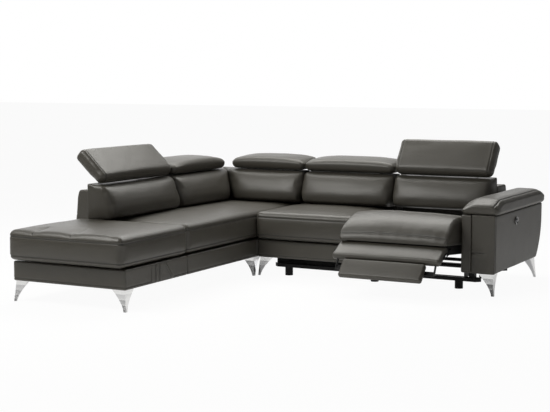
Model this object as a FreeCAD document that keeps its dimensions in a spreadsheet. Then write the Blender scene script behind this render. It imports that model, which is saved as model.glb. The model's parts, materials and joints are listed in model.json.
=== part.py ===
import FreeCAD, Part
import math
import os
import Sketcher

# Corner sofa with a chaise end, a power recliner seat and ratchet headrests.
# The wings meet at an inner corner. In each wing's own axes, across runs along the wing,
# depth runs from the seat's front to the back, and height runs up.

doc = FreeCAD.newDocument("CornerSofa")
sheet = doc.addObject("Spreadsheet::Sheet", "Sizes")
Vector = FreeCAD.Vector


class Dim:
    """A length or angle of the sheet, or a sum worked out from such values."""

    def __init__(self, text, value):
        self.text = text
        self.value = float(value)

    def joined(self, sign, other, value):
        return Dim(f"({self.text} {sign} {as_dim(other).text})", value)

    def __add__(self, other):
        return self.joined("+", other, self.value + float(other))

    def __sub__(self, other):
        return self.joined("-", other, self.value - float(other))

    def __mul__(self, other):
        return self.joined("*", other, self.value * float(other))

    def __truediv__(self, other):
        return self.joined("/", other, self.value / float(other))

    def __radd__(self, other):
        return as_dim(other) + self

    def __rsub__(self, other):
        return as_dim(other) - self

    def __rmul__(self, other):
        return as_dim(other) * self

    def __neg__(self):
        return Dim(f"(0 - {self.text})", -self.value)

    def __float__(self):
        return self.value


def as_dim(number):
    return number if isinstance(number, Dim) else Dim(repr(float(number)), number)


def size(name, value):
    row = size.count + 1
    size.count = row
    sheet.set(f"A{row}", name)
    sheet.set(f"B{row}", repr(value))
    sheet.setAlias(f"B{row}", name)
    return Dim(f"Sizes.{name}", value)


size.count = 0

# Heights above the floor
leg_height = size("leg_height", 133)
base_height = size("base_height", 121)
deck_height = size("deck_height", 16)
seat_height = size("seat_height", 465)
seat_crown = size("seat_crown", 15)
back_clear = size("back_clear", 22)
back_rise = size("back_rise", 225)
frame_drop = size("frame_drop", 57)

# Plan of the two wings, measured from the inner corner
base_depth = size("base_depth", 868)
back_face = size("back_face", 563)
frame_face = size("frame_face", 700)
back_reach = size("back_reach", 1000)
chaise_length = size("chaise_length", 1669)
chaise_overhang = size("chaise_overhang", 46)
chaise_split = size("chaise_split", 950)
seat_overhang = size("seat_overhang", 42)
left_overhang = size("left_overhang", -5)
chaise_side = size("chaise_side", 2)
corner_inset = size("corner_inset", 3)
left_back_start = size("left_back_start", 1093)
left_frame_start = size("left_frame_start", 910)
left_back_split = size("left_back_split", 211)
corner_back_end = size("corner_back_end", 77)
middle_back_end = size("middle_back_end", 817)
recliner_back_end = size("recliner_back_end", 1556)
recliner_start = size("recliner_start", 784)
recliner_end = size("recliner_end", 1562)
arm_start = size("arm_start", 1568)
arm_width = size("arm_width", 234)
module_gap = size("module_gap", 0.6)
soft_gap = size("soft_gap", 4)
seat_rear = size("seat_rear", 690)
front_bulge = size("front_bulge", 7)
pad_bulge = size("pad_bulge", 5)

# Upholstered shells
base_edge = size("base_edge", 8)
deck_inset = size("deck_inset", 14)
belly_foot = size("belly_foot", 150)
belly_height = size("belly_height", 400)
belly_low_radius = size("belly_low_radius", 330)
belly_top_radius = size("belly_top_radius", 420)
frame_depth_top = size("frame_depth_top", 180)
frame_edge = size("frame_edge", 14)

# Arm
arm_front = size("arm_front", 78)
arm_panel_bottom = size("arm_panel_bottom", 142)
arm_pad_bottom = size("arm_pad_bottom", 530)
arm_pad_seam = size("arm_pad_seam", 592)
arm_top = size("arm_top", 632)
arm_pad_overhang = size("arm_pad_overhang", 20)
arm_band_width = size("arm_band_width", 72)
arm_band_depth = size("arm_band_depth", 24)
arm_rear = size("arm_rear", 990)
arm_corner = size("arm_corner", 45)
tuck_height = size("tuck_height", 275)
tuck_groove = size("tuck_groove", 6)

# Legs
leg_width = size("leg_width", 98)
leg_foot_width = size("leg_foot_width", 17)
leg_wall = size("leg_wall", 9)
leg_splay = size("leg_splay", 12)
leg_setback = size("leg_setback", 14)

# Headrests and their ratchet brackets
pivot_depth = size("pivot_depth", 611)
pivot_rise = size("pivot_rise", 53)
headrest_length = size("headrest_length", 190)
headrest_radius = size("headrest_radius", 47)
headrest_tip = size("headrest_tip", 43)
lean_low = size("lean_low", 86)
lean_high = size("lean_high", 34)
lean_middle = size("lean_middle", 47)
ratchet_wall = size("ratchet_wall", 3)
ratchet_width = size("ratchet_width", 24)
ratchet_slot = size("ratchet_slot", 12)
ratchet_inset = size("ratchet_inset", 0.22)
ratchet_arm = size("ratchet_arm", 120)
pivot_rod_radius = size("pivot_rod_radius", 6)
running_clearance = size("running_clearance", 0.08)

# Recliner mechanism
glide_rest = size("glide_rest", 265)
tilt_rest = size("tilt_rest", 5)
footrest_rest = size("footrest_rest", 58)
flipper_fold = size("flipper_fold", 105)
flipper_rest = size("flipper_rest", 86)
tilt_pivot_depth = size("tilt_pivot_depth", 600)
tilt_pivot_height = size("tilt_pivot_height", 250)
footrest_pivot_depth = size("footrest_pivot_depth", -12)
footrest_pivot_height = size("footrest_pivot_height", 252)
footrest_length = size("footrest_length", 125)
footrest_radius = size("footrest_radius", 25)
flipper_start = size("flipper_start", 50)
flipper_length = size("flipper_length", 150)
flipper_radius = size("flipper_radius", 20)
footrest_width = size("footrest_width", 764)
flipper_width = size("flipper_width", 584)
rail_bottom = size("rail_bottom", 60)
rail_height = size("rail_height", 25)
rail_width = size("rail_width", 60)
front_rail_depth = size("front_rail_depth", 80)
rear_rail_depth = size("rear_rail_depth", 640)
rail_start = size("rail_start", 90)
rail_end = size("rail_end", 1650)
foot_radius = size("foot_radius", 28)
side_plate_wall = size("side_plate_wall", 5)
side_plate_top = size("side_plate_top", 205)
side_plate_inset = size("side_plate_inset", 18)
track_gap = size("track_gap", 0.3)
back_pivot_depth = size("back_pivot_depth", 830)
back_pivot_height = size("back_pivot_height", 328)
shell_bottom = size("shell_bottom", 300)
crank_length = size("crank_length", 30)
actuator_depth = size("actuator_depth", 470)
actuator_drop = size("actuator_drop", 62)
foot_bar_reach = size("foot_bar_reach", 68.75)
link_pivot_depth = size("link_pivot_depth", 75)
link_pivot_height = size("link_pivot_height", 262)
link_wall = size("link_wall", 3)
link_gap = size("link_gap", 1.5)
link_width = size("link_width", 24)
link_slot = size("link_slot", 14)
link_pin_radius = size("link_pin_radius", 5)

back_bottom = seat_height + back_clear
back_top = back_bottom + back_rise
frame_top = back_top - frame_drop
pivot_height = back_top + pivot_rise
base_top = leg_height + base_height
deck_top = base_top + deck_height
arm_outer = arm_start + arm_width
corner_x = (back_reach - arm_outer - arm_pad_overhang - pad_bulge) / 2
corner_y = (chaise_length + chaise_overhang + front_bulge - back_reach) / 2

RIGHT = "right"
LEFT = "left"
pieces = []


def keep(obj, label):
    """Names a finished piece, which becomes one file."""
    obj.Label = label
    pieces.append(obj)
    return obj


def place(obj, wing, across, depth, height):
    """Puts an object into a wing by its own origin, with the sheet driving the place."""
    across = as_dim(across)
    depth = as_dim(depth)
    height = as_dim(height)
    if wing == LEFT:
        spot = (corner_x - depth, corner_y + across, height)
        turn = FreeCAD.Rotation(Vector(0, 0, 1), 90)
    else:
        spot = (corner_x + across, corner_y + depth, height)
        turn = FreeCAD.Rotation()
    obj.Placement = FreeCAD.Placement(Vector(*(float(v) for v in spot)), turn)
    for axis, value in zip("xyz", spot):
        obj.setExpression(f"Placement.Base.{axis}", value.text)
    return obj


def box(name, wing, low, high):
    """A block between two corners, each given as across, depth and height."""
    block = doc.addObject("Part::Box", name)
    for prop, start, end in zip(("Length", "Width", "Height"), low, high):
        block.setExpression(prop, (as_dim(end) - start).text)
    return place(block, wing, *low)


def cylinder(name, wing, radius, length, spot, direction):
    rod = doc.addObject("Part::Cylinder", name)
    rod.setExpression("Radius", as_dim(radius).text)
    rod.setExpression("Height", as_dim(length).text)
    place(rod, wing, *spot)
    turn = FreeCAD.Rotation(Vector(0, 0, 1), Vector(*direction))
    rod.Placement.Rotation = rod.Placement.Rotation.multiply(turn)
    return rod


def cut(name, base, tool):
    result = doc.addObject("Part::Cut", name)
    result.Base = base
    result.Tool = tool
    return result


def fuse(name, shapes):
    result = doc.addObject("Part::MultiFuse", name)
    result.Shapes = shapes
    return result


def arc_middle(start, end, radius, side):
    chord = end - start
    half = chord.Length / 2
    rise = math.sqrt(max(radius * radius - half * half, 0.0))
    normal = Vector(-chord.y, chord.x, 0).normalize() * side
    centre = (start + end) * 0.5 + normal * rise
    return centre - normal * radius


def profile_body(name, plane, outline, length, wing, spot, rounded=(), radius=None):
    """A padded profile. Each corner is (u, v), or (u, v, radius, side) where an arc runs on
    to the next corner with its centre on that side. The corners numbered in rounded are filleted."""
    body = doc.addObject("PartDesign::Body", name)
    origin = next(f for f in body.Origin.OriginFeatures if f.Role == plane)
    sketch = body.newObject("Sketcher::SketchObject", name + "Sketch")
    sketch.AttachmentSupport = [(origin, "")]
    sketch.MapMode = "FlatFace"
    corners = [Vector(float(c[0]), float(c[1]), 0) for c in outline]
    starts = []
    for i, corner in enumerate(outline):
        here = corners[i]
        there = corners[(i + 1) % len(corners)]
        if len(corner) == 4:
            middle = arc_middle(here, there, float(corner[2]), corner[3])
            index = sketch.addGeometry(Part.Arc(here, middle, there), False)
            first = sketch.Geometry[index].StartPoint
            starts.append((1, 2) if (first - here).Length < 1e-6 else (2, 1))
        else:
            sketch.addGeometry(Part.LineSegment(here, there), False)
            starts.append((1, 2))
    count = len(outline)
    for i in range(count):
        j = (i + 1) % count
        sketch.addConstraint(Sketcher.Constraint("Coincident", i, starts[i][1], j, starts[j][0]))
    for i, corner in enumerate(outline):
        for kind, value in (("DistanceX", corner[0]), ("DistanceY", corner[1])):
            mark = sketch.addConstraint(Sketcher.Constraint(kind, i, starts[i][0], float(value)))
            if isinstance(value, Dim):
                sketch.setExpression(f"Constraints[{mark}]", value.text)
        if len(corner) == 4:
            mark = sketch.addConstraint(Sketcher.Constraint("Radius", i, float(corner[2])))
            sketch.setExpression(f"Constraints[{mark}]", corner[2].text)
    pad = body.newObject("PartDesign::Pad", name + "Pad")
    pad.Profile = sketch
    pad.setExpression("Length", as_dim(length).text)
    doc.recompute()
    if rounded:
        matrix = sketch.Placement
        names = []
        for number, edge in enumerate(pad.Shape.Edges, 1):
            ends = [matrix.inverse().multVec(v.Point) for v in edge.Vertexes]
            if len(ends) == 2 and abs(ends[0].z - ends[1].z) > 1e-3:
                flat = Vector(ends[0].x, ends[0].y, 0)
                if any((corners[i] - flat).Length < 1e-3 for i in rounded):
                    names.append(f"Edge{number}")
        fillet = body.newObject("PartDesign::Fillet", name + "Fillet")
        fillet.Base = (pad, names)
        fillet.setExpression("Radius", radius.text)
    return place(body, wing, *spot)


def shaped(name, shape, wing, across, depth, height):
    """A piece whose form comes from lofts, placed by its own origin."""
    feature = doc.addObject("Part::Feature", name)
    feature.Shape = shape
    return place(feature, wing, across, depth, height)


def arc(start, middle, end):
    return Part.Arc(Vector(*start), Vector(*middle), Vector(*end)).toShape()


def line(start, end):
    return Part.LineSegment(Vector(*start), Vector(*end)).toShape()


def soft_stations(width):
    """Places along a soft piece, with how far its ends are drawn in and how far it has risen."""
    half = ((0, 1.0, 0.15), (7, 0.45, 0.35), (22, 0.12, 0.6), (60, 0.0, 0.82))
    first = [(x, pull, rise) for x, pull, rise in half]
    last = [(width - x, pull, rise) for x, pull, rise in reversed(half)]
    middle = [(width * 0.27, 0.0, 0.95), (width * 0.5, 0.0, 1.0), (width * 0.73, 0.0, 0.95)]
    return first + middle + last


# Seat cushions: crowned tops, bulged fronts and drawn-in ends
def seat_section(x, depth, height, inset, crown, corner):
    front = inset
    top = height - inset
    low = 22.0
    bulge = float(front_bulge)
    tail = 16.0
    mid = (low + top - corner) / 2
    return Part.Wire([
        line((x, depth, 0), (x, front + low, 0)),
        arc((x, front + low, 0), (x, front + low * 0.293, low * 0.293), (x, front, low)),
        arc((x, front, low), (x, front - bulge, mid), (x, front, top - corner)),
        arc((x, front, top - corner), (x, front + corner * 0.293, top - corner * 0.293),
            (x, front + corner, top)),
        arc((x, front + corner, top), (x, (front + depth) / 2, top + crown), (x, depth - tail, top)),
        arc((x, depth - tail, top), (x, depth - tail * 0.293, top - tail * 0.293),
            (x, depth, top - tail)),
        line((x, depth, top - tail), (x, depth, 0)),
    ])


def seat_form(width, depth, height, crown, corner=38.0, draw=15.0):
    wires = [seat_section(x, depth, height, draw * pull, crown * rise, corner)
             for x, pull, rise in soft_stations(width)]
    return Part.makeLoft(wires, True, True)


cushion_height = float(seat_height - deck_top)
crown = float(seat_crown)
seat_depth = float(seat_rear)


def seam_groove(shape, start, end, radius):
    """A sewn channel: a shallow round groove along a straight run."""
    run = Vector(*end) - Vector(*start)
    return shape.cut(Part.makeCylinder(radius, run.Length, Vector(*start), run))


chaise_width = float(base_depth + chaise_side)
chaise_run = float(chaise_length + chaise_overhang - chaise_split)
chaise = seat_form(chaise_width, chaise_run, cushion_height, crown)
groove = 5.0
groove_lift = cushion_height + 2.0
for share in (0.22, 0.56):
    chaise = seam_groove(chaise, (chaise_width * share, -10, groove_lift - 3),
                         (chaise_width * share, 230, groove_lift + 11), groove)
chaise_cushion = doc.addObject("Part::Feature", "ChaiseCushion")
chaise_cushion.Shape = chaise
place(chaise_cushion, RIGHT, -base_depth, -(chaise_length + chaise_overhang), deck_top)
keep(chaise_cushion, "chaise_cushion")

left_width = float(chaise_split - soft_gap * 2 - corner_inset)
keep(shaped("LeftSeatCushion", seat_form(left_width, seat_depth + float(left_overhang), cushion_height, crown),
            LEFT, -(chaise_split - soft_gap), -left_overhang, deck_top), "left_seat_cushion")

corner_lead = front_bulge - corner_inset / 2
corner_form = seat_form(seat_depth, float(seat_rear - corner_lead), cushion_height, crown, 22.0, 8.0)
keep(shaped("CornerSeatCushion", corner_form, RIGHT, -seat_rear, corner_lead, deck_top),
     "corner_seat_cushion")

right_width = float(recliner_start - corner_inset - soft_gap)
keep(shaped("RightSeatCushion", seat_form(right_width, seat_depth + float(seat_overhang), cushion_height, crown),
            RIGHT, corner_inset, -seat_overhang, deck_top), "right_seat_cushion")


# Bases: an upholstered block under each seat, closed below by its dust cover, with a stepped-in deck
def base_shell(name, label, wing, low, high, inner_low, inner_high):
    outer = profile_body(name + "Rim", "XY_Plane", (
        (0, 0), (high[0] - low[0], 0), (high[0] - low[0], high[1] - low[1]), (0, high[1] - low[1])),
        base_height, wing, (low[0], low[1], leg_height), (0, 1, 2, 3), base_edge)
    deck = box(name + "Deck", wing, (low[0] + inner_low[0], low[1] + inner_low[1], base_top),
               (high[0] - inner_high[0], high[1] - inner_high[1], deck_top))
    keep(fuse(name, [outer, deck]), label)


flush = module_gap / 2
base_shell("ChaiseBase", "chaise_base", LEFT, (-chaise_length, as_dim(0)), (-(chaise_split + flush), base_depth),
           (deck_inset, deck_inset), (as_dim(0), deck_inset))
base_shell("LeftBase", "left_base", LEFT, (-(chaise_split - flush), as_dim(0)), (-flush, base_depth),
           (as_dim(0), deck_inset), (as_dim(0), base_depth - frame_face))
base_shell("CornerBase", "corner_base", RIGHT, (-base_depth, flush), (-flush, base_depth),
           (base_depth - frame_face, as_dim(0)), (as_dim(0), base_depth - frame_face))
base_shell("RightBase", "right_base", RIGHT, (flush, as_dim(0)), (recliner_start - soft_gap, base_depth),
           (as_dim(0), deck_inset), (as_dim(0), base_depth - frame_face))

# Pleated gusset where the leather of the chaise base is folded round its inner side
gusset_start = size("gusset_start", 1380)
gusset_width = size("gusset_width", 270)
gusset_proud = size("gusset_proud", 5)
gusset_height = size("gusset_height", 104)
gusset = profile_body("BaseGusset", "XZ_Plane", (
    (0, 0), (gusset_width, 0), (gusset_width - 60, gusset_height * 0.7),
    (gusset_width * 0.37, gusset_height), (0, gusset_height)),
    gusset_proud, LEFT, (-gusset_start, as_dim(0), leg_height + 8), (1, 2, 3), size("gusset_corner", 8))
keep(gusset, "base_gusset")


# Back frames: upholstered uprights with a bellied outer face
def frame_outline(inner_low, low):
    top_outer = frame_face + frame_depth_top
    return (
        (inner_low, low), (base_depth, low), (base_depth, belly_foot, belly_low_radius, 1),
        (back_reach, belly_height, belly_top_radius, 1), (top_outer, frame_top),
        (frame_face, frame_top))


def frame_run(name, wing, start, end):
    return profile_body(name, "YZ_Plane", frame_outline(frame_face, base_top), end - start, wing,
                        (start, as_dim(0), as_dim(0)), (4, 5), frame_edge)


keep(frame_run("LeftBackFrame", LEFT, -left_frame_start, -(left_back_split + flush)), "left_back_frame")
keep(frame_run("RightBackFrame", RIGHT, corner_back_end + flush, recliner_start - flush), "right_back_frame")

# The corner frame is two runs mitred on the diagonal
left_run = frame_run("CornerRunLeft", LEFT, -(left_back_split - flush), back_reach + 40)
right_run = frame_run("CornerRunRight", RIGHT, -(back_reach + 40), corner_back_end - flush)


def mitre_half(name, keep_right):
    """Half of the corner block on one side of the diagonal, as a wedge."""
    reach = back_reach + 60
    if keep_right:
        outline = ((as_dim(0), as_dim(0)), (-reach, reach), (-reach, as_dim(-400)), (as_dim(0), as_dim(-400)))
    else:
        outline = ((as_dim(0), as_dim(0)), (as_dim(400), as_dim(0)), (as_dim(400), reach), (-reach, reach))
    return profile_body(name, "XY_Plane", outline, frame_top + 400, RIGHT, (as_dim(0), as_dim(0), as_dim(0)))


left_half = cut("CornerHalfLeft", left_run, mitre_half("MitreRight", False))
right_half = cut("CornerHalfRight", right_run, mitre_half("MitreLeft", True))
keep(fuse("CornerBackFrame", [left_half, right_half]), "corner_back_frame")


# Back cushions: a puffed front that leans back to the fold under the headrest
def back_section(x, inset, puff):
    rear = float(frame_face)
    face = float(back_face) + inset
    low = float(back_bottom) + inset * 0.6
    top = float(back_top) - inset * 0.8
    toe = face - 22.0 * puff + 12.0
    return Part.Wire([
        line((x, rear, low), (x, toe + 34, low)),
        arc((x, toe + 34, low), (x, toe + 8, low + 9), (x, toe, low + 34)),
        arc((x, toe, low + 34), (x, face - 44.0 * puff, low + 92), (x, face - 22.0 * puff, top - 52)),
        arc((x, face - 22.0 * puff, top - 52), (x, face + 2, top - 14), (x, face + 34, top - 2)),
        arc((x, face + 34, top - 2), (x, (face + rear) / 2 + 10, top), (x, rear - 26, top - 6)),
        arc((x, rear - 26, top - 6), (x, rear - 7, top - 14), (x, rear, top - 34)),
        line((x, rear, top - 34), (x, rear, low)),
    ])


def back_form(width):
    wires = [back_section(x, 20 * pull, rise) for x, pull, rise in soft_stations(width)]
    return Part.makeLoft(wires, True, True)


def mitred(shape, wing, start, gap):
    """Cuts a corner cushion back to the diagonal, where start is its own place along the wing."""
    side = 1600.0
    if wing == RIGHT:
        points = ((gap, 0), (gap - side, side), (gap - side, 0))
    else:
        points = ((-gap, 0), (side - gap, side), (side - gap, 0))
    corners = [Vector(u - start, v, 0) for u, v in points]
    wedge = Part.Face(Part.makePolygon(corners + corners[:1])).extrude(Vector(0, 0, 1500))
    return shape.cut(wedge)


half_gap = soft_gap / 2
mitre_gap = size("mitre_gap", 0.3)
back_runs = (
    ("1", LEFT, -left_back_start, -(left_back_split + half_gap)),
    ("2", LEFT, -(left_back_split - half_gap), frame_face),
    ("3", RIGHT, -frame_face, corner_back_end - half_gap),
    ("4", RIGHT, corner_back_end + half_gap, middle_back_end - half_gap),
    ("5", RIGHT, middle_back_end + half_gap, recliner_back_end),
)
for number, wing, start, end in back_runs:
    form = back_form(float(end - start))
    if number in "23":
        form = mitred(form, wing, float(start), float(mitre_gap))
    keep(shaped("BackCushion" + number, form, wing, start, as_dim(0), as_dim(0)), "back_cushion_" + number)


# Headrests: rolled pads that turn about a rod in their lower edge
def pad_section(x, root, tip, length, bulge):
    """Closed section along the pad's length, with its axis through the root roll's centre."""
    return Part.Wire([
        arc((x, 0, -root), (x, -root * 0.7071, -root * 0.7071), (x, -root, 0)),
        arc((x, -root, 0), (x, -root * 0.7071, root * 0.7071), (x, 0, root)),
        arc((x, 0, root), (x, length / 2, (root + tip) / 2 + bulge), (x, length, tip)),
        arc((x, length, tip), (x, length + tip * 0.7071, tip * 0.7071), (x, length + tip, 0)),
        arc((x, length + tip, 0), (x, length + tip * 0.7071, -tip * 0.7071), (x, length, -tip)),
        line((x, length, -tip), (x, 0, -root)),
    ])


def pad_form(width, root, tip, length, bulge, draw):
    wires = []
    for x, pull, rise in soft_stations(width):
        share = 1 - 0.38 * pull
        wires.append(pad_section(x, root * share, tip * share, length - draw * (1 - rise), bulge * rise))
    return Part.makeLoft(wires, True, True)


headrests = (
    ("1", LEFT, -left_back_start + 4, -(left_back_split + 22), lean_middle),
    ("2", LEFT, -(left_back_split - 6), back_face - 18, lean_low),
    ("3", RIGHT, -(back_face - 8), corner_back_end - 4, lean_low),
    ("4", RIGHT, corner_back_end + 4, middle_back_end - 4, lean_low),
    ("5", RIGHT, middle_back_end + 8, recliner_back_end - 2, lean_high),
)


def leaned(obj, wing, across, lean):
    """Stands a pad, modelled along its own depth axis, on the pivot at its lean from upright."""
    place(obj, wing, across, pivot_depth, pivot_height)
    turn = FreeCAD.Rotation(Vector(1, 0, 0), 90 - float(lean))
    obj.Placement.Rotation = obj.Placement.Rotation.multiply(turn)
    return obj


def ratchet_plate(x, length, width, hole):
    """A flat arm with a round eye at the pivot, along the depth axis."""
    half = width / 2
    wire = Part.Wire([
        line((x, 0, -half), (x, length, -half)), line((x, length, -half), (x, length, half)),
        line((x, length, half), (x, 0, half)),
        arc((x, 0, half), (x, -half * 0.7071, half * 0.7071), (x, -half, 0)),
        arc((x, -half, 0), (x, -half * 0.7071, -half * 0.7071), (x, 0, -half))])
    plate = Part.Face(wire).extrude(Vector(float(ratchet_wall), 0, 0))
    if hole:
        plate = plate.cut(Part.makeCylinder(hole, 40, Vector(x - 20, 0, 0), Vector(1, 0, 0)))
    return plate


def ratchet_bracket(x, foot_depth, foot_height):
    """The fixed half: an eye plate bent down to a foot on the frame's top."""
    wall = float(ratchet_wall)
    half = float(ratchet_width) / 2
    back = foot_depth + 2 * half
    wire = Part.Wire([
        arc((x, 0, half), (x, -half, 0), (x, 0, -half)),
        line((x, 0, -half), (x, foot_depth, -half)), line((x, foot_depth, -half), (x, foot_depth, foot_height)),
        line((x, foot_depth, foot_height), (x, back, foot_height)), line((x, back, foot_height), (x, back, 0)),
        line((x, back, 0), (x, back - half, half)), line((x, back - half, half), (x, 0, half))])
    plate = Part.Face(wire).extrude(Vector(wall, 0, 0))
    eye = float(pivot_rod_radius + running_clearance)
    plate = plate.cut(Part.makeCylinder(eye, 40, Vector(x - 20, 0, 0), Vector(1, 0, 0)))
    return plate.fuse(Part.makeBox(26, back - foot_depth + 22, wall, Vector(x - 23 + wall, foot_depth - 4, foot_height)))


foot_run = float(frame_face - pivot_depth + 22)
foot_drop = float(frame_top - pivot_height)
wall = float(ratchet_wall)
slot = float(ratchet_slot)
rod = float(pivot_rod_radius)
for number, wing, start, end, lean in headrests:
    width = float(end - start)
    spots = (width * float(ratchet_inset), width * (1 - float(ratchet_inset)))
    form = pad_form(width, float(headrest_radius), float(headrest_tip), float(headrest_length), 5.0, 26.0)
    form = form.cut(Part.makeCylinder(rod, spots[1] - spots[0] + slot, Vector(spots[0] - slot / 2, 0, 0),
                                      Vector(1, 0, 0)))
    arms = [Part.makeCylinder(rod, spots[1] - spots[0] + slot - 2, Vector(spots[0] - slot / 2 + 1, 0, 0),
                              Vector(1, 0, 0))]
    feet = []
    for x in spots:
        form = form.cut(Part.makeBox(slot, float(ratchet_arm) + 60 + 80, 80, Vector(x - slot / 2, -60, -63)))
        arms.append(ratchet_plate(x + slot / 2 - wall, float(ratchet_arm), float(ratchet_width), None))
        feet.append(ratchet_bracket(x - 2.0, foot_run, foot_drop))
    pad = shaped("Headrest" + number, form, wing, start, pivot_depth, pivot_height)
    keep(leaned(pad, wing, start, lean), "headrest_" + number)
    arm_shape = arms[0].multiFuse(arms[1:])
    moving = shaped("HeadrestArm" + number, arm_shape, wing, start, pivot_depth, pivot_height)
    keep(leaned(moving, wing, start, lean), "headrest_arm_" + number)
    cross = Part.makeBox(spots[1] - spots[0] + 26, 20, wall, Vector(spots[0] - 22, foot_run + 20, foot_drop))
    fixed = feet[0].multiFuse([feet[1], cross])
    keep(shaped("HeadrestBracket" + number, fixed, wing, start, pivot_depth, pivot_height),
         "headrest_bracket_" + number)

# Arm: a boat-shaped core with a recessed front, a wrapped pad and a power control on its outer side
core = profile_body("ArmCore", "YZ_Plane", (
    (as_dim(0), arm_panel_bottom), (base_depth + arm_front, arm_panel_bottom, belly_low_radius, 1),
    (arm_rear + arm_front, belly_height), (arm_rear + arm_front, arm_pad_bottom), (as_dim(0), arm_pad_bottom)),
    arm_width, RIGHT, (arm_start, -arm_front, as_dim(0)), (3,), arm_corner)
tuck = box("TuckCut", RIGHT, (arm_start + arm_band_width, -arm_front - 1, tuck_height),
           (arm_outer + 1, tuck_groove - arm_front, tuck_height + tuck_groove))
recess = box("RecessCut", RIGHT, (arm_start + arm_band_width, -arm_front - 1, arm_panel_bottom - 1),
             (arm_outer + 1, arm_band_depth - arm_front, arm_pad_bottom + 1))
arm_core = cut("ArmRecessed", core, recess)
front_panel = profile_body("ArmFrontPanel", "XY_Plane", (
    (as_dim(0), as_dim(4)), (arm_width - arm_band_width, as_dim(4)), (arm_width - arm_band_width, arm_band_depth),
    (as_dim(0), arm_band_depth)), arm_pad_bottom - arm_panel_bottom, RIGHT,
    (arm_start + arm_band_width, -arm_front, arm_panel_bottom), (1,), size("panel_corner", 12))
keep(cut("ArmFront", front_panel, tuck), "arm_front_panel")


def arm_section(y, inset, rise):
    left = inset
    right = float(arm_width + arm_pad_overhang) - inset
    low = float(arm_pad_bottom)
    seam = float(arm_pad_seam) - inset * 0.5
    top = float(arm_top) - inset * 0.8
    side = float(pad_bulge)
    return Part.Wire([
        line((left, y, low), (right - 10, y, low)),
        arc((right - 10, y, low), (right - 3, y, low + 3), (right, y, low + 10)),
        arc((right, y, low + 10), (right + side * rise, y, (low + seam) / 2), (right, y, seam)),
        arc((right, y, seam), (right - 14, y, seam + (top - seam) * 0.72), (right - 52, y, top - 4)),
        arc((right - 52, y, top - 4), ((left + right) / 2, y, top + 2 * rise), (left + 46, y, top - 8)),
        arc((left + 46, y, top - 8), (left + 12, y, top - 24), (left, y, top - 62)),
        line((left, y, top - 62), (left, y, low)),
    ])


pad_run = float(arm_rear + arm_front)
arm_stations = ((0, 8, 0.2), (10, 2, 0.5), (40, 0, 0.9), (pad_run * 0.5, 0, 1.0), (pad_run - 90, 0, 0.9),
                (pad_run - 40, 5, 0.6), (pad_run - 12, 16, 0.4), (pad_run, 32, 0.2))
arm_pad = Part.makeLoft([arm_section(y, inset, rise) for y, inset, rise in arm_stations], True, True)
keep(shaped("ArmPad", arm_pad, RIGHT, arm_start, -arm_front, as_dim(0)), "arm_pad")

control_depth = size("control_depth", 372)
control_height = size("control_height", 456)
control_radius = size("control_radius", 26)
control_proud = size("control_proud", 5)
button_width = size("button_width", 12)
button_height = size("button_height", 28)
button_travel = size("button_travel", 2)
button_gap = size("button_gap", 0.4)
bezel = cylinder("BezelDisc", RIGHT, control_radius, control_proud + 10, (arm_outer - 10, control_depth,
                 control_height), (1, 0, 0))
seat_hole = cylinder("BezelSeat", RIGHT, control_radius, 11, (arm_outer - 10, control_depth, control_height),
                     (1, 0, 0))
keep(cut("ArmFrame", arm_core, seat_hole), "arm_frame")
button_cuts = []
for side, label in ((-1, "button_open"), (1, "button_close")):
    middle = control_depth + side * (button_width / 2 + 1.5)
    low = (arm_outer - 6, middle - button_width / 2, control_height - button_height / 2)
    high = (arm_outer + control_proud + 2, middle + button_width / 2, control_height + button_height / 2)
    button = box(label + "_block", RIGHT, low, high)
    button_cuts.append(box(label + "_well", RIGHT, (low[0] - button_travel - 0.5, low[1] - button_gap, low[2] - button_gap),
                           (high[0] + 1, high[1] + button_gap, high[2] + button_gap)))
    keep(button, label)
keep(cut("ControlBezel", bezel, fuse("ButtonWells", button_cuts)), "control_bezel")


# Chrome legs: corner wedges whose two faces sweep down to a narrow foot
def leg_form(height):
    top = float(leg_width)
    foot = float(leg_foot_width)
    thick = float(leg_wall)
    wires = []
    for share in (0.0, 0.12, 0.3, 0.55, 0.8, 1.0):
        reach = foot + (top - foot) * share ** 1.7
        out = float(leg_splay) * (1 - share) ** 1.3
        z = height * share
        corners = [(-out, -out), (reach - out, -out), (reach - out, thick - out), (thick - out, thick - out),
                   (thick - out, reach - out), (-out, reach - out)]
        points = [Vector(u, v, z) for u, v in corners]
        wires.append(Part.makePolygon(points + points[:1]))
    return Part.makeLoft(wires, True, True)


inset = leg_setback
legs = (
    (-(base_depth - inset), -(chaise_length - inset), 0), (-inset, -(chaise_length - inset), 90),
    (-inset, -inset - leg_width * 0.2, 90), (inset, inset, 0),
    (arm_outer - inset, -(arm_front - inset), 90), (arm_outer - inset, base_depth - inset, 180),
    (-(base_depth - inset), base_depth - inset, 270), (-(base_depth - inset), -(chaise_split - inset), 0),
)
for number, (across, depth, turn) in enumerate(legs, 1):
    leg_top = arm_panel_bottom if number in (5, 6) else leg_height
    leg = shaped(f"ChromeLeg{number}", leg_form(float(leg_top)), RIGHT, across, depth, as_dim(0))
    leg.Placement.Rotation = FreeCAD.Rotation(Vector(0, 0, 1), turn)
    keep(leg, f"chrome_leg_{number}")

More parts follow.
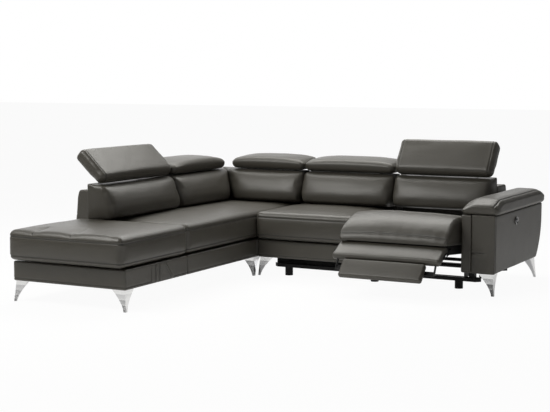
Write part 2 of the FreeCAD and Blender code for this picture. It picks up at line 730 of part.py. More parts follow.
# Recliner chassis: mitred rails on round feet, with two side plates that carry the seat's tracks
frame_left = recliner_start + side_plate_inset
frame_right = recliner_end - side_plate_inset
rails = []
for name, depth in (("FrontRail", front_rail_depth), ("RearRail", rear_rail_depth)):
    rails.append(profile_body(name, "XY_Plane", (
        (as_dim(0), rail_width / 2), (rail_width / 2, as_dim(0)), (rail_end - rail_start - rail_width / 2, as_dim(0)),
        (rail_end - rail_start, rail_width / 2), (rail_end - rail_start - rail_width / 2, rail_width),
        (rail_width / 2, rail_width)), rail_height, RIGHT, (rail_start, depth, rail_bottom)))
for name, across in (("SidePlateLeft", frame_left), ("SidePlateRight", frame_right - side_plate_wall)):
    rails.append(box(name, RIGHT, (across, front_rail_depth, rail_bottom + rail_height),
                     (across + side_plate_wall, rear_rail_depth + rail_width, side_plate_top)))
for number, (across, depth) in enumerate((
        (recliner_start + 76, front_rail_depth + rail_width), (recliner_end - 80, front_rail_depth + rail_width),
        (recliner_start + 76, rear_rail_depth), (recliner_end - 80, rear_rail_depth),
        (rail_start + 110, front_rail_depth + rail_width / 2), (rail_start + 110, rear_rail_depth + rail_width / 2)), 1):
    rails.append(cylinder(f"Foot{number}", RIGHT, foot_radius, rail_bottom, (across, depth, as_dim(0)), (0, 0, 1)))
post_width = size("post_width", 40)
for depth in (front_rail_depth, rear_rail_depth):
    back_side = depth + rail_width
    rails.append(box("BasePost", RIGHT, (rail_start + post_width, depth + 10, rail_bottom + rail_height),
                     (rail_start + post_width * 2, back_side - 10, leg_height)))
    rails.append(box("ArmPost", RIGHT, (rail_end - post_width * 2, depth + 10, rail_bottom + rail_height),
                     (rail_end - post_width, back_side - 10, arm_panel_bottom)))
shell_notch = size("shell_notch", 8)
upright_left = recliner_start + flush + 1
upright_right = recliner_back_end + 2
rear_top = rail_bottom + rail_height
for number, across, pin_start in ((1, upright_left, upright_left),
                                  (2, upright_right, recliner_back_end - 34)):
    rails.append(profile_body(f"BackUpright{number}", "YZ_Plane", (
        (rear_rail_depth + 5, rear_top), (rear_rail_depth + rail_width, rear_top),
        (back_pivot_depth + 20, back_pivot_height - 16), (back_pivot_depth + 20, back_pivot_height + 17),
        (back_pivot_depth - 15, back_pivot_height + 17), (back_pivot_depth - 30, back_pivot_height - 28),
        (rear_rail_depth + 5, rear_top + 20)), side_plate_wall, RIGHT, (across, as_dim(0), as_dim(0)),
        (3, 4), size(f"upright_round_{number}", 12)))
    rails.append(cylinder(f"BackPin{number}", RIGHT, pivot_rod_radius + 2, as_dim(45),
                          (pin_start, back_pivot_depth, back_pivot_height), (1, 0, 0)))
keep(fuse("ReclinerChassis", rails), "recliner_chassis")

# Seat mechanism, modelled closed in the seat's own axes and then set to the part-open rest pose
glide = float(glide_rest)
tilt = float(tilt_rest)
tilt_spot = Vector(0, float(tilt_pivot_depth), float(tilt_pivot_height))
closed_to_rest = FreeCAD.Placement(Vector(0, -glide, 0), FreeCAD.Rotation())
tilting = FreeCAD.Placement(Vector(), FreeCAD.Rotation(Vector(-1, 0, 0), tilt), tilt_spot)
seat_pose = closed_to_rest.multiply(tilting)
corner_spot = Vector(float(corner_x), float(corner_y), 0)


def posed(name, shape, pose):
    """A mechanism piece, drawn closed in wing axes, at its pose in the part's frame."""
    feature = doc.addObject("Part::Feature", name)
    feature.Shape = shape
    feature.Placement = FreeCAD.Placement(corner_spot, FreeCAD.Rotation()).multiply(pose)
    return feature


left_x = float(frame_left + side_plate_wall + track_gap)
right_x = float(frame_right - side_plate_wall - track_gap)
plate = float(side_plate_wall)


def across_tube(radius, depth, height, start, end):
    return Part.makeCylinder(radius, end - start, Vector(start, depth, height), Vector(1, 0, 0))


def plate_shape(points, x, thickness, holes=()):
    corners = [Vector(x, u, v) for u, v in points]
    solid = Part.Face(Part.makePolygon(corners + corners[:1])).extrude(Vector(thickness, 0, 0))
    for u, v, radius in holes:
        solid = solid.cut(Part.makeCylinder(radius, thickness + 2, Vector(x - 1, u, v), Vector(1, 0, 0)))
    return solid


pivot_z = float(tilt_pivot_height)
carriage_low = float(rail_bottom + rail_height) + 40
carriage_top = float(side_plate_top) - 4
pivot_bore = rod + float(running_clearance)
track_points = ((360, carriage_low), (640, carriage_low), (640, carriage_top), (625, pivot_z + 16),
                (575, pivot_z + 16), (560, carriage_top), (360, carriage_top))
carriage_sides = [plate_shape(track_points, x, plate) for x in (left_x, right_x - plate)]
carriage_tubes = [across_tube(12, 500, carriage_low + 15, left_x, right_x),
                  across_tube(12, 620, (carriage_low + carriage_top) / 2, left_x, right_x)]
pins = [across_tube(rod, float(tilt_pivot_depth), pivot_z, left_x, left_x + 30),
        across_tube(rod, float(tilt_pivot_depth), pivot_z, right_x - 30, right_x)]
carriage_shape = carriage_sides[0].multiFuse(carriage_sides[1:] + carriage_tubes + pins)
keep(posed("SeatCarriage", carriage_shape, closed_to_rest), "seat_carriage")

# Seat box: two long side plates under a deck, tied by a front tube
box_left = left_x + plate + 1
box_right = right_x - plate - 1
deck_low = float(deck_top) + 2
box_points = ((30, deck_low), (30, 240), (60, 225), (560, 225), (580, 232), (620, 232), (640, deck_low))
side_holes = ((float(tilt_pivot_depth), pivot_z, pivot_bore),
              (float(link_pivot_depth), float(link_pivot_height), pivot_bore))
seat_sides = [plate_shape(box_points, x, plate, side_holes) for x in (box_left, box_right - plate)]
seat_deck = Part.makeBox(box_right - box_left, 620, 12, Vector(box_left, 30, deck_low))
front_tube = across_tube(9, 140, deck_low - 10, box_left, box_right)
hinge_y = float(footrest_pivot_depth)
hinge_z = float(footrest_pivot_height)
ears = []
for x in (box_left, box_right - plate):
    ears.append(plate_shape(((hinge_y - 10, hinge_z - 12), (60, 225), (60, deck_low), (hinge_y + 4, deck_low),
                             (hinge_y - 10, hinge_z + 10)), x, plate, ((hinge_y, hinge_z, pivot_bore),)))
lug = plate_shape(((actuator_depth.value - 20, 225), (actuator_depth.value + 20, 225),
                   (actuator_depth.value + 12, 180), (actuator_depth.value - 12, 180)),
                  (box_left + box_right) / 2 + 22, plate,
                  ((actuator_depth.value, hinge_z - actuator_drop.value, pivot_bore),))
lug_beam = Part.makeBox(box_right - box_left, 40, plate, Vector(box_left, actuator_depth.value - 20, 225))
seat_box = seat_sides[0].multiFuse(seat_sides[1:] + [seat_deck, front_tube, lug, lug_beam] + ears)
keep(posed("SeatBox", seat_box, seat_pose), "recliner_seat_box")


def recliner_section(x, inset, rise):
    low = float(deck_top) + 14
    rear = 765.0 - inset * 0.5
    crest = float(seat_height) + 22 * rise - inset
    lip = -40.0 + inset
    return Part.Wire([
        line((x, rear, low), (x, lip + 22, low)),
        arc((x, lip + 22, low), (x, lip + 5, low + 7), (x, lip, low + 24)),
        arc((x, lip, low + 24), (x, 52 + inset * 0.5, crest - 62), (x, 225, crest)),
        arc((x, 225, crest), (x, 450, crest - 8 + 2 * rise), (x, rear - 24, crest - 26)),
        arc((x, rear - 24, crest - 26), (x, rear - 7, crest - 33), (x, rear, crest - 52)),
        line((x, rear, crest - 52), (x, rear, low)),
    ])


seat_left = float(recliner_start) + 2
seat_wide = float(footrest_width)
seat_wires = [recliner_section(seat_left + x, 14 * pull, rise) for x, pull, rise in soft_stations(seat_wide)]
recliner_seat = Part.makeLoft(seat_wires, True, True)
keep(posed("ReclinerSeatCushion", recliner_seat, seat_pose), "recliner_seat_cushion")


def swung(parent, spot, angle):
    """The pose of a piece drawn forward of its hinge and turned down from level by an angle."""
    turn = FreeCAD.Placement(Vector(0, spot[0], spot[1]), FreeCAD.Rotation(Vector(1, 0, 0), angle))
    return parent.multiply(turn)


# Footrest: arms, crank and pad, drawn level and pointing forward from the hinge
footrest_down = 90 - float(footrest_rest)
footrest_pose = swung(seat_pose, (hinge_y, hinge_z), footrest_down)
reach = float(footrest_length)
roll = float(footrest_radius)
middle_x = (seat_left * 2 + seat_wide) / 2
arm_xs = (box_left + plate + 1, box_right - 2 * plate - 1)
arm_plates = []
for x in arm_xs:
    arm_plates.append(plate_shape(((12, -12), (12, 12), (0, 14), (-reach - 10, 12), (-reach - 14, 0),
                                   (-reach - 8, -12), (-20, -14), (-9, -float(crank_length) - 10),
                                   (9, -float(crank_length) - 10)), x, plate,
                                  ((-reach, 0, pivot_bore),)))
hinge_rod = across_tube(rod, 0, 0, box_left - 2, box_right + 2)
crank_bar = across_tube(rod, 0, -float(crank_length), arm_xs[0], arm_xs[1] + plate)
bar_reach = float(foot_bar_reach)
link_thick = float(link_wall)
link_left = seat_left - float(link_gap) - link_thick
link_right = seat_left + seat_wide + float(link_gap)
foot_bar = across_tube(8, -bar_reach, 0, arm_xs[0], arm_xs[1] + plate)
link_pin = across_tube(float(link_pin_radius), -bar_reach, 0, link_left, link_right + link_thick)
footrest_arms = arm_plates[0].multiFuse(arm_plates[1:] + [hinge_rod, crank_bar, foot_bar, link_pin])


def leg_pad(left, width, start, length, radius, face_lift):
    wires = []
    for across, pull, rise in soft_stations(width):
        x = left + across
        thick = radius * (1 - 0.4 * pull)
        k = 0.7071
        wires.append(Part.Wire([
            arc((x, -start, -thick), (x, -start + thick * k, -thick * k), (x, -start + thick, 0)),
            arc((x, -start + thick, 0), (x, -start + thick * k, thick * k), (x, -start, thick)),
            arc((x, -start, thick), (x, -(start + length) / 2, thick + face_lift * rise), (x, -length, thick)),
            arc((x, -length, thick), (x, -length - thick * k, thick * k), (x, -length - thick, 0)),
            arc((x, -length - thick, 0), (x, -length - thick * k, -thick * k), (x, -length, -thick)),
            line((x, -length, -thick), (x, -start, -thick)),
        ]))
    return Part.makeLoft(wires, True, True)


footrest_pad = leg_pad(seat_left, seat_wide, 0, reach, roll, 6.0)
slots = [Part.makeBox(plate + 2, 400, 90, Vector(x - 1, -200, -74)) for x in arm_xs]
channel = [across_tube(9, -bar_reach, 0, arm_xs[0], arm_xs[1] + plate),
           across_tube(float(link_pin_radius) + 1, -bar_reach, 0, link_left, link_right),
           across_tube(9, 0, -float(crank_length), arm_xs[0], arm_xs[1] + plate)]
ear_room = [Part.makeBox(plate + 2, 80, 120, Vector(x - 1, -30, -60)) for x in (box_left, box_right - plate)]
rod_room = [across_tube(rod, 0, 0, box_left - 3, box_right + 3)]
flip_xs = (box_left + 2 * plate + 2, box_right - 3 * plate - 2)
for x in flip_xs:
    rod_room.append(Part.makeBox(plate + 2, 96, 90, Vector(x - 1, -reach - 60, -74)))
for start, end in ((arm_xs[0], flip_xs[0] + plate), (flip_xs[1], arm_xs[1] + plate)):
    rod_room.append(across_tube(rod + 1, -reach, 0, start - 1, end + 1))
centre_x = (box_left + box_right) / 2
rod_room.append(Part.makeBox(20, 74, 116, Vector(centre_x - 10, -34, -90)))
footrest_pad = footrest_pad.cut(slots + channel + ear_room + rod_room)
keep(posed("FootrestArms", footrest_arms, footrest_pose), "footrest_arms")
keep(posed("FootrestPad", footrest_pad, footrest_pose), "footrest_pad")

# Side links: bars beside the pads, pivoted on the seat box, whose slotted ends carry the foot bar
link_spot = (float(link_pivot_depth), float(link_pivot_height))


def link_to_bar(down):
    """Length and angle below level from the link's pivot to the foot bar, with the footrest so far down."""
    ahead = link_spot[0] - hinge_y + bar_reach * math.cos(math.radians(down))
    below = link_spot[1] - hinge_z + bar_reach * math.sin(math.radians(down))
    return math.hypot(ahead, below), math.degrees(math.atan2(below, ahead))


slot_play = float(link_pin_radius) + 2
slot_near = link_to_bar(90)[0] - slot_play
slot_far = link_to_bar(0)[0] + slot_play
link_half = float(link_width) / 2
link_nose = link_half * 0.4
link_points = ((link_half, -link_nose), (link_half, link_nose), (link_nose, link_half),
               (-slot_far - link_nose, link_half), (-slot_far - link_half, link_nose),
               (-slot_far - link_half, -link_nose), (-slot_far - link_nose, -link_half), (link_nose, -link_half))
links = []
for x in (link_left, link_right):
    bar = plate_shape(link_points, x, link_thick)
    links.append(bar.cut(Part.makeBox(link_thick + 2, slot_far - slot_near, float(link_slot),
                                      Vector(x - 1, -slot_far, -float(link_slot) / 2))))
link_shaft = across_tube(rod, 0, 0, link_left, link_right + link_thick)
link_pose = swung(seat_pose, link_spot, link_to_bar(footrest_down)[1])
keep(posed("FootrestLinks", links[0].multiFuse([links[1], link_shaft]), link_pose), "footrest_links")

# Flipper: the lower pad on two brackets hinged at the footrest's far edge
flipper_down = float(flipper_fold) - float(flipper_rest)
flipper_pose = swung(footrest_pose, (-reach, 0), flipper_down)
flip_half = float(flipper_width) / 2
flip_radius = float(flipper_radius)
flip_points = ((11, -8), (9, 9), (-12, 9), (-96, -flip_radius), (-96, -flip_radius - 12),
               (-60, -flip_radius - 12))
flip_plates = [plate_shape(flip_points, x, plate) for x in flip_xs]
flip_bar = Part.makeBox(flip_xs[1] + plate - flip_xs[0], 30, 12, Vector(flip_xs[0], -94, -flip_radius - 12))
flip_rods = [across_tube(rod, 0, 0, arm_xs[0], flip_xs[0] + plate), across_tube(rod, 0, 0, flip_xs[1], arm_xs[1] + plate)]
keep(posed("FlipperBracket", flip_plates[0].multiFuse(flip_plates[1:] + [flip_bar] + flip_rods), flipper_pose),
     "flipper_bracket")
flipper_pad = leg_pad(middle_x - flip_half, float(flipper_width), float(flipper_start), float(flipper_length),
                      flip_radius, 4.0)
keep(posed("FlipperPad", flipper_pad, flipper_pose), "flipper_pad")

# Back of the recliner: its own bellied shell, stepped in above the seat's rear edge
seat_clear = size("seat_clear", 100)
shell_inner = frame_face + seat_clear
shell_low = shell_bottom
shell = profile_body("ReclinerBackShell", "YZ_Plane", (
    (shell_inner, shell_low), (back_reach - 33, shell_low, belly_low_radius, 1),
    (back_reach, belly_height, belly_top_radius, 1), (frame_face + frame_depth_top, frame_top),
    (frame_face, frame_top), (frame_face, back_bottom + 12), (shell_inner, back_bottom + 12)),
    recliner_back_end - recliner_start - flush - shell_notch, RIGHT,
    (recliner_start + flush + shell_notch, as_dim(0), as_dim(0)), (3, 4), frame_edge)
bores = [cylinder(f"BackBore{number}", RIGHT, pivot_rod_radius + 2 + running_clearance, as_dim(80),
                  (across, back_pivot_depth, back_pivot_height), (1, 0, 0))
         for number, across in ((1, recliner_start - 10), (2, recliner_back_end - 36))]
keep(cut("ReclinerBackFrame", shell, fuse("BackBores", bores)), "recliner_back_frame")

# Actuator: a motor body hung from the seat box, with a rod that turns the footrest's crank
crank = Vector(0, 0, -float(crank_length))
crank_now = footrest_pose.multVec(crank)
lug_spot = Vector(0, actuator_depth.value, hinge_z - actuator_drop.value)
lug_now = seat_pose.multVec(lug_spot)
drive = crank_now - lug_now
drive_angle = math.degrees(math.atan2(drive.z, -drive.y))
actuator_pose = FreeCAD.Placement(Vector(centre_x, lug_now.y, lug_now.z),
                                  FreeCAD.Rotation(Vector(-1, 0, 0), drive_angle))
span = drive.Length
tube_length = 250.0
clevis_half = 10.0
clevis_rise = 10.5
clevis_lead = 1.2
motor = Part.makeBox(34, 86, 46, Vector(-17, -100, -58)).fuse(
    [Part.makeCylinder(15, tube_length, Vector(0, -14, 0), Vector(0, -1, 0)),
     Part.makeBox(14, 30, 18, Vector(-7, -30, -9)),
     Part.makeCylinder(9, 14, Vector(-7, 0, 0), Vector(1, 0, 0)),
     Part.makeBox(14, 20, 18, Vector(-7, -18, -9))])
motor = motor.cut(Part.makeCylinder(7.1, tube_length - 30, Vector(0, -46, 0), Vector(0, -1, 0)))
motor = motor.cut(Part.makeCylinder(7.1, 60, Vector(0, -14 - tube_length + 20, 0), Vector(0, -1, 0)))
lug_pin = Part.makeCylinder(rod, 32, Vector(-4, 0, 0), Vector(1, 0, 0))
keep(posed("ActuatorBody", motor.fuse(lug_pin), actuator_pose), "actuator_body")
clevis_end = span + clevis_lead + clevis_half
clevis = Part.makeBox(12, 2 * clevis_half + 12, 2 * clevis_rise + 7,
                      Vector(-6, -clevis_end - 4, -clevis_rise - 3.5))
clevis = clevis.cut(Part.makeBox(20, 2 * clevis_half, 2 * clevis_rise, Vector(-10, -clevis_end, -clevis_rise)))
rod_rear = 70
thrust = Part.makeCylinder(7, clevis_end - 2 * clevis_half - rod_rear - 4, Vector(0, -rod_rear, 0), Vector(0, -1, 0))
thrust = thrust.fuse(clevis)
keep(posed("ActuatorRod", thrust, actuator_pose), "actuator_rod")

doc.recompute()

print("objects", len(doc.Objects), "pieces", len(pieces))
broken = [o.Name for o in doc.Objects if "Invalid" in o.State or "Error" in o.State]
if broken:
    raise RuntimeError("features that failed: " + ", ".join(broken))
for piece in pieces:
    if piece.Shape.isNull() or not piece.Shape.isValid():
        raise RuntimeError("piece with no valid shape: " + piece.Label)

os.makedirs("parts", exist_ok=True)
for piece in pieces:
    piece.Shape.exportStep(f"parts/{piece.Label}.step")
    bounds = piece.Shape.BoundBox
    print(f"{piece.Label:24s} {len(piece.Shape.Solids)} {piece.Shape.Volume / 1e6:9.3f} "
          f"x {bounds.XMin:8.1f} {bounds.XMax:8.1f} y {bounds.YMin:8.1f} {bounds.YMax:8.1f} "
          f"z {bounds.ZMin:7.1f} {bounds.ZMax:7.1f}")
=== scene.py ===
import json
import math
import bpy
import numpy as np
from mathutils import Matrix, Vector


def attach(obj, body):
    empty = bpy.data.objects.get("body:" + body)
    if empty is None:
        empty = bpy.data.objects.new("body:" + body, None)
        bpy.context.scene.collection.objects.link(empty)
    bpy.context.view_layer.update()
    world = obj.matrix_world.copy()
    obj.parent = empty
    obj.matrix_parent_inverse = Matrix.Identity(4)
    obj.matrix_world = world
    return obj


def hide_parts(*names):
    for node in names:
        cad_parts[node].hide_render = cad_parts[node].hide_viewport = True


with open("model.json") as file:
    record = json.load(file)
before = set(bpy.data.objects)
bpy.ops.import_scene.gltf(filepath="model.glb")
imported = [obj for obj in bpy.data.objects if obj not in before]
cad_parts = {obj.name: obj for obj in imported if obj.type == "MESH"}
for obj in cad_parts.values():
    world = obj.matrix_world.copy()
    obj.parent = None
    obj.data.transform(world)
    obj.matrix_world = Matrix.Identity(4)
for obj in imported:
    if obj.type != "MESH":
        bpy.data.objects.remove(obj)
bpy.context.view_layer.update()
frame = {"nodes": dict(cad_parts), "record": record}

innerCorner = np.array([-0.4135, 0.361, 0.0])  # where the two wings' seat fronts meet, in metres


# Shader helpers

def feed(tree, socket, value):
    if isinstance(value, Wire):
        tree.links.new(value.socket, socket)
    else:
        socket.default_value = value


class Wire:
    def __init__(self, tree, socket):
        self.tree = tree
        self.socket = socket

    def maths(self, operation, first, second):
        node = self.tree.nodes.new("ShaderNodeMath")
        node.operation = operation
        feed(self.tree, node.inputs[0], first)
        feed(self.tree, node.inputs[1], second)
        return Wire(self.tree, node.outputs[0])

    def __add__(self, other):
        return self.maths("ADD", self, other)

    def __radd__(self, other):
        return self.maths("ADD", other, self)

    def __sub__(self, other):
        return self.maths("SUBTRACT", self, other)

    def __rsub__(self, other):
        return self.maths("SUBTRACT", other, self)

    def __mul__(self, other):
        return self.maths("MULTIPLY", self, other)

    def __pow__(self, other):
        return self.maths("POWER", self, other)


class Graph:
    def __init__(self, tree):
        self.tree = tree

    def node(self, kind, settings=None, inputs=None, output=0):
        made = self.tree.nodes.new(kind)
        for key, value in (settings or {}).items():
            setattr(made, key, value)
        for key, value in (inputs or {}).items():
            feed(self.tree, made.inputs[key], value)
        return Wire(self.tree, made.outputs[output])

    def place(self):
        return self.node("ShaderNodeTexCoord", output="Object")

    def noise(self, where, scale, detail=2.0, roughness=0.5):
        return self.node("ShaderNodeTexNoise", {}, {"Vector": where, "Scale": scale, "Detail": detail,
                                                    "Roughness": roughness})

    def mix(self, share, first, second):
        return self.node("ShaderNodeMix", {"data_type": "RGBA"}, {0: share, 6: first, 7: second}, 2)

    def bump(self, height, distance, strength=1.0, below=None):
        inputs = {"Height": height, "Distance": distance, "Strength": strength}
        if below is not None:
            inputs["Normal"] = below
        return self.node("ShaderNodeBump", {}, inputs)


class Finish(Graph):
    def __init__(self, name, **fixed):
        self.material = bpy.data.materials.new(name)
        self.material.use_nodes = True
        super().__init__(self.material.node_tree)
        self.shader = next(n for n in self.tree.nodes if n.type == "BSDF_PRINCIPLED")
        for socket, value in fixed.items():
            self.shader.inputs[socket.replace("_", " ")].default_value = value

    def set(self, **links):
        for socket, value in links.items():
            feed(self.tree, self.shader.inputs[socket.replace("_", " ")], value)
        return self.material


def shade(colour, share):
    return (colour[0] * share, colour[1] * share, colour[2] * share, 1.0)


# The seam share of the tone is painted shade in the seam grooves, with some dirt
leatherLook = {"tone": (0.064, 0.0585, 0.0475), "rough": 0.37, "grain": 620.0, "grainDepth": 0.00022,
               "pores": 1500.0, "wrinkles": 38.0, "wrinkleDepth": 0.0016, "patches": 2.6, "shadeAndDirtTone": 0.28}


def leather():
    look = leatherLook
    skin = Finish("fineGrainLeather", Specular_IOR_Level=0.62)
    where = skin.place()
    cells = skin.node("ShaderNodeTexVoronoi", {"feature": "DISTANCE_TO_EDGE"},
                      {"Vector": where, "Scale": look["grain"], "Randomness": 0.9}, "Distance")
    pebble = cells ** 0.6
    pores = skin.noise(where, look["pores"], 1.0)
    hide = skin.noise(where, look["wrinkles"], 3.0, 0.6)
    patches = skin.noise(where, look["patches"], 3.0)
    paintedShadeAndDirt = skin.node("ShaderNodeAttribute", {"attribute_name": "paintedShadeAndDirt"}, {}, "Fac")
    tone = skin.mix(patches, shade(look["tone"], 0.9), shade(look["tone"], 1.1))
    tone = skin.mix(pebble * 0.5 + 0.35, shade(look["tone"], 0.8), tone)
    # The stored seam mask darkens the tone: painted shade in the seam grooves with some dirt, and a painted
    # shadow beside each gusset fold
    tone = skin.mix(paintedShadeAndDirt, tone, shade(look["tone"], look["shadeAndDirtTone"]))
    fine = skin.bump(pebble + pores * 0.3, look["grainDepth"], 0.55)
    soft = skin.bump(hide, look["wrinkleDepth"], 0.4, fine)
    return skin.set(Base_Color=tone, Roughness=look["rough"] + patches * 0.06 + hide * 0.05 + paintedShadeAndDirt * 0.2,
                    Normal=soft)


threadLook = {"dark": (0.045, 0.043, 0.038, 1), "light": (0.09, 0.086, 0.078, 1), "twist": 700.0,
              "rough": 0.55}


def threadFinish():
    look = threadLook
    yarn = Finish("waxedThread", Specular_IOR_Level=0.3)
    twist = yarn.node("ShaderNodeTexWave", {"bands_direction": "DIAGONAL"},
                      {"Vector": yarn.place(), "Scale": look["twist"]})
    tone = yarn.mix(twist, look["dark"], look["light"])
    return yarn.set(Base_Color=tone, Roughness=look["rough"] + twist * 0.1,
                    Normal=yarn.bump(twist, 0.0002, 0.5))


chromeLook = {"dark": (0.72, 0.72, 0.73, 1), "light": (0.86, 0.86, 0.86, 1), "smears": 24.0, "streaks": 300.0,
              "rough": 0.05}


def chromeFinish():
    look = chromeLook
    plate = Finish("polishedChrome", Metallic=1.0)
    where = plate.place()
    smear = plate.noise(where, look["smears"], 4.0)
    streak = plate.noise(where, look["streaks"], 2.0)
    tone = plate.mix(smear, look["dark"], look["light"])
    return plate.set(Base_Color=tone, Roughness=look["rough"] + smear * 0.08 + streak * 0.02,
                     Normal=plate.bump(smear, 0.0006, 0.2))


steelLook = {"dark": (0.006, 0.006, 0.0065, 1), "light": (0.03, 0.03, 0.03, 1), "peel": 900.0, "scuffs": 30.0,
             "rough": 0.42}


def blackSteelFinish():
    look = steelLook
    coat = Finish("blackPowderCoat", Specular_IOR_Level=0.25)
    where = coat.place()
    peel = coat.noise(where, look["peel"], 2.0)
    scuff = coat.noise(where, look["scuffs"], 5.0, 0.7) ** 4.0
    tone = coat.mix(scuff * 1.6, look["dark"], look["light"])
    return coat.set(Base_Color=tone, Roughness=look["rough"] + peel * 0.16,
                    Normal=coat.bump(peel, 0.0002, 0.5))


zincLook = {"tone": (0.42, 0.43, 0.44, 1), "spangles": 180.0, "clouds": 60.0, "rough": 0.28}


def bracketFinish():
    look = zincLook
    zinc = Finish("zincPlate", Metallic=1.0)
    where = zinc.place()
    spangle = zinc.node("ShaderNodeTexVoronoi", {}, {"Vector": where, "Scale": look["spangles"]}, "Color")
    cloud = zinc.noise(where, look["clouds"], 3.0)
    tone = zinc.mix(0.15, look["tone"], spangle)
    return zinc.set(Base_Color=tone, Roughness=look["rough"] + cloud * 0.18,
                    Normal=zinc.bump(cloud, 0.0003, 0.3))


plasticLook = {"dark": (0.014, 0.014, 0.015, 1), "light": (0.026, 0.026, 0.027, 1), "grain": 1400.0,
               "wear": 45.0, "rough": 0.45}


def plasticFinish():
    look = plasticLook
    shell = Finish("blackPlastic", Specular_IOR_Level=0.45)
    where = shell.place()
    spark = shell.noise(where, look["grain"], 2.0)
    worn = shell.noise(where, look["wear"], 3.0)
    tone = shell.mix(worn, look["dark"], look["light"])
    return shell.set(Base_Color=tone, Roughness=look["rough"] + worn * 0.15,
                     Normal=shell.bump(spark, 0.00015, 0.6))


clothLook = {"dark": (0.008, 0.008, 0.008, 1), "light": (0.022, 0.022, 0.022, 1), "weave": 420.0,
             "rough": 0.85}


def dustCloth():
    look = clothLook
    cloth = Finish("dustCover", Specular_IOR_Level=0.1)
    inputs = {"Vector": cloth.place(), "Scale": look["weave"]}
    weave = cloth.node("ShaderNodeTexWave", {"bands_direction": "X"}, inputs)
    cross = cloth.node("ShaderNodeTexWave", {"bands_direction": "Y"}, inputs)
    both = weave * cross
    tone = cloth.mix(both, look["dark"], look["light"])
    return cloth.set(Base_Color=tone, Roughness=look["rough"] + both * 0.1,
                     Normal=cloth.bump(both, 0.0003, 0.6))


hideLeather = leather()
threadYarn = threadFinish()
chrome = chromeFinish()
blackSteel = blackSteelFinish()
zincSteel = bracketFinish()
blackPlastic = plasticFinish()
coverCloth = dustCloth()
print("finishes made")


# Mesh helpers: lattices over a box, rounded and shaped into soft pieces.
# A groove is given as (width, depth) and a gather as (reach, size, pitch).

fanAngles = (45, 34, 23, 11)  # degrees, where a rounded edge gets its rows
seamRows = (-0.007, -0.0035, 0.0, 0.0035, 0.007)
stitchOff = seamRows[-1]  # a stitch row runs this far from its seam


def ticks(length, lowEdge, highEdge, cell, seams=()):
    fan = [1 - math.tan(math.radians(a)) for a in fanAngles]
    count = max(1, round((length - lowEdge - highEdge) / cell))
    marks = [lowEdge * f for f in fan] + list(np.linspace(lowEdge, length - highEdge, count + 1))
    marks += [length - highEdge * f for f in fan]
    for seam in seams:
        marks = [m for m in marks if abs(m - seam) > 0.0095]  # room for the seam's own rows
        marks += [seam + d for d in seamRows]
    return np.array(sorted(m for m in marks if -1e-9 <= m <= length + 1e-9))


def lattice(xs, ys, zs):
    counts = (len(xs), len(ys), len(zs))
    grid = np.indices(counts).reshape(3, -1).T
    last = np.array(counts) - 1
    outer = ((grid == 0) | (grid == last)).any(1)
    order = -np.ones(counts, int)
    order[tuple(grid[outer].T)] = np.arange(outer.sum())
    kept = grid[outer]
    points = np.stack([xs[kept[:, 0]], ys[kept[:, 1]], zs[kept[:, 2]]], 1)
    faces = []
    for axis in range(3):
        b, c = [a for a in range(3) if a != axis]
        j, k = np.meshgrid(np.arange(counts[b] - 1), np.arange(counts[c] - 1), indexing="ij")
        j, k = j.ravel(), k.ravel()
        for side in (0, last[axis]):
            def at(dj, dk):
                spot = [None, None, None]
                spot[axis] = np.full(len(j), side)
                spot[b] = j + dj
                spot[c] = k + dk
                return order[tuple(spot)]
            quad = np.stack([at(0, 0), at(1, 0), at(1, 1), at(0, 1)], 1)
            outward = (side != 0) != (axis == 1)
            faces.append(quad if outward else quad[:, ::-1])
    return points, np.concatenate(faces)


def block(size, edges, cells, seams=((), (), ())):
    edges, cells = np.broadcast_to(edges, (3, 2)), np.broadcast_to(cells, 3)
    return lattice(*(ticks(size[i], *edges[i], cells[i], seams[i]) for i in range(3)))


def centred(points, size):
    return points[:, 0] / size[0] * 2 - 1, points[:, 1] / size[1] * 2 - 1


def follow(values, curve):
    return np.interp(values, *zip(*curve))


def roundedBox(points, high, radius):
    radius = np.reshape(radius, (-1, 1)) * np.ones((len(points), 1))
    inner = np.minimum(np.maximum(points, radius), np.array(high) - radius)
    away = points - inner
    length = np.maximum(np.linalg.norm(away, axis=1, keepdims=True), 1e-9)
    return inner + away / length * radius


def normals(points, faces):
    a, b, c, d = (points[faces[:, i]] for i in range(4))
    face = np.cross(c - a, d - b)
    total = np.zeros_like(points)
    for i in range(4):
        np.add.at(total, faces[:, i], face)
    return total / np.maximum(np.linalg.norm(total, axis=1, keepdims=True), 1e-12)


def ramp(value, start, end):
    t = np.clip((value - start) / (end - start), 0, 1)
    return t * t * (3 - 2 * t)


def softNoise(points, scale, seed):
    spot = points * scale + seed * 7.31
    base = np.floor(spot).astype(np.int64)
    part = spot - base
    part = part * part * (3 - 2 * part)
    total = np.zeros(len(points))
    for dx in (0, 1):
        for dy in (0, 1):
            for dz in (0, 1):
                mixed = ((base[:, 0] + dx) * 73856093) ^ ((base[:, 1] + dy) * 19349663)
                mixed = mixed ^ ((base[:, 2] + dz) * 83492791) ^ (seed * 2654435761)
                mixed = (mixed ^ (mixed >> 13)) * 1274126177
                value = ((mixed >> 7) & 0xffff) / 32767.5 - 1
                share = np.where(dx, part[:, 0], 1 - part[:, 0]) * np.where(dy, part[:, 1], 1 - part[:, 1])
                total += value * share * np.where(dz, part[:, 2], 1 - part[:, 2])
    return total


def toFrame(points, wing):
    if wing == "left":
        turned = np.stack([-points[:, 1], points[:, 0], points[:, 2]], 1)
        return turned + innerCorner
    return points + innerCorner if wing == "right" else points


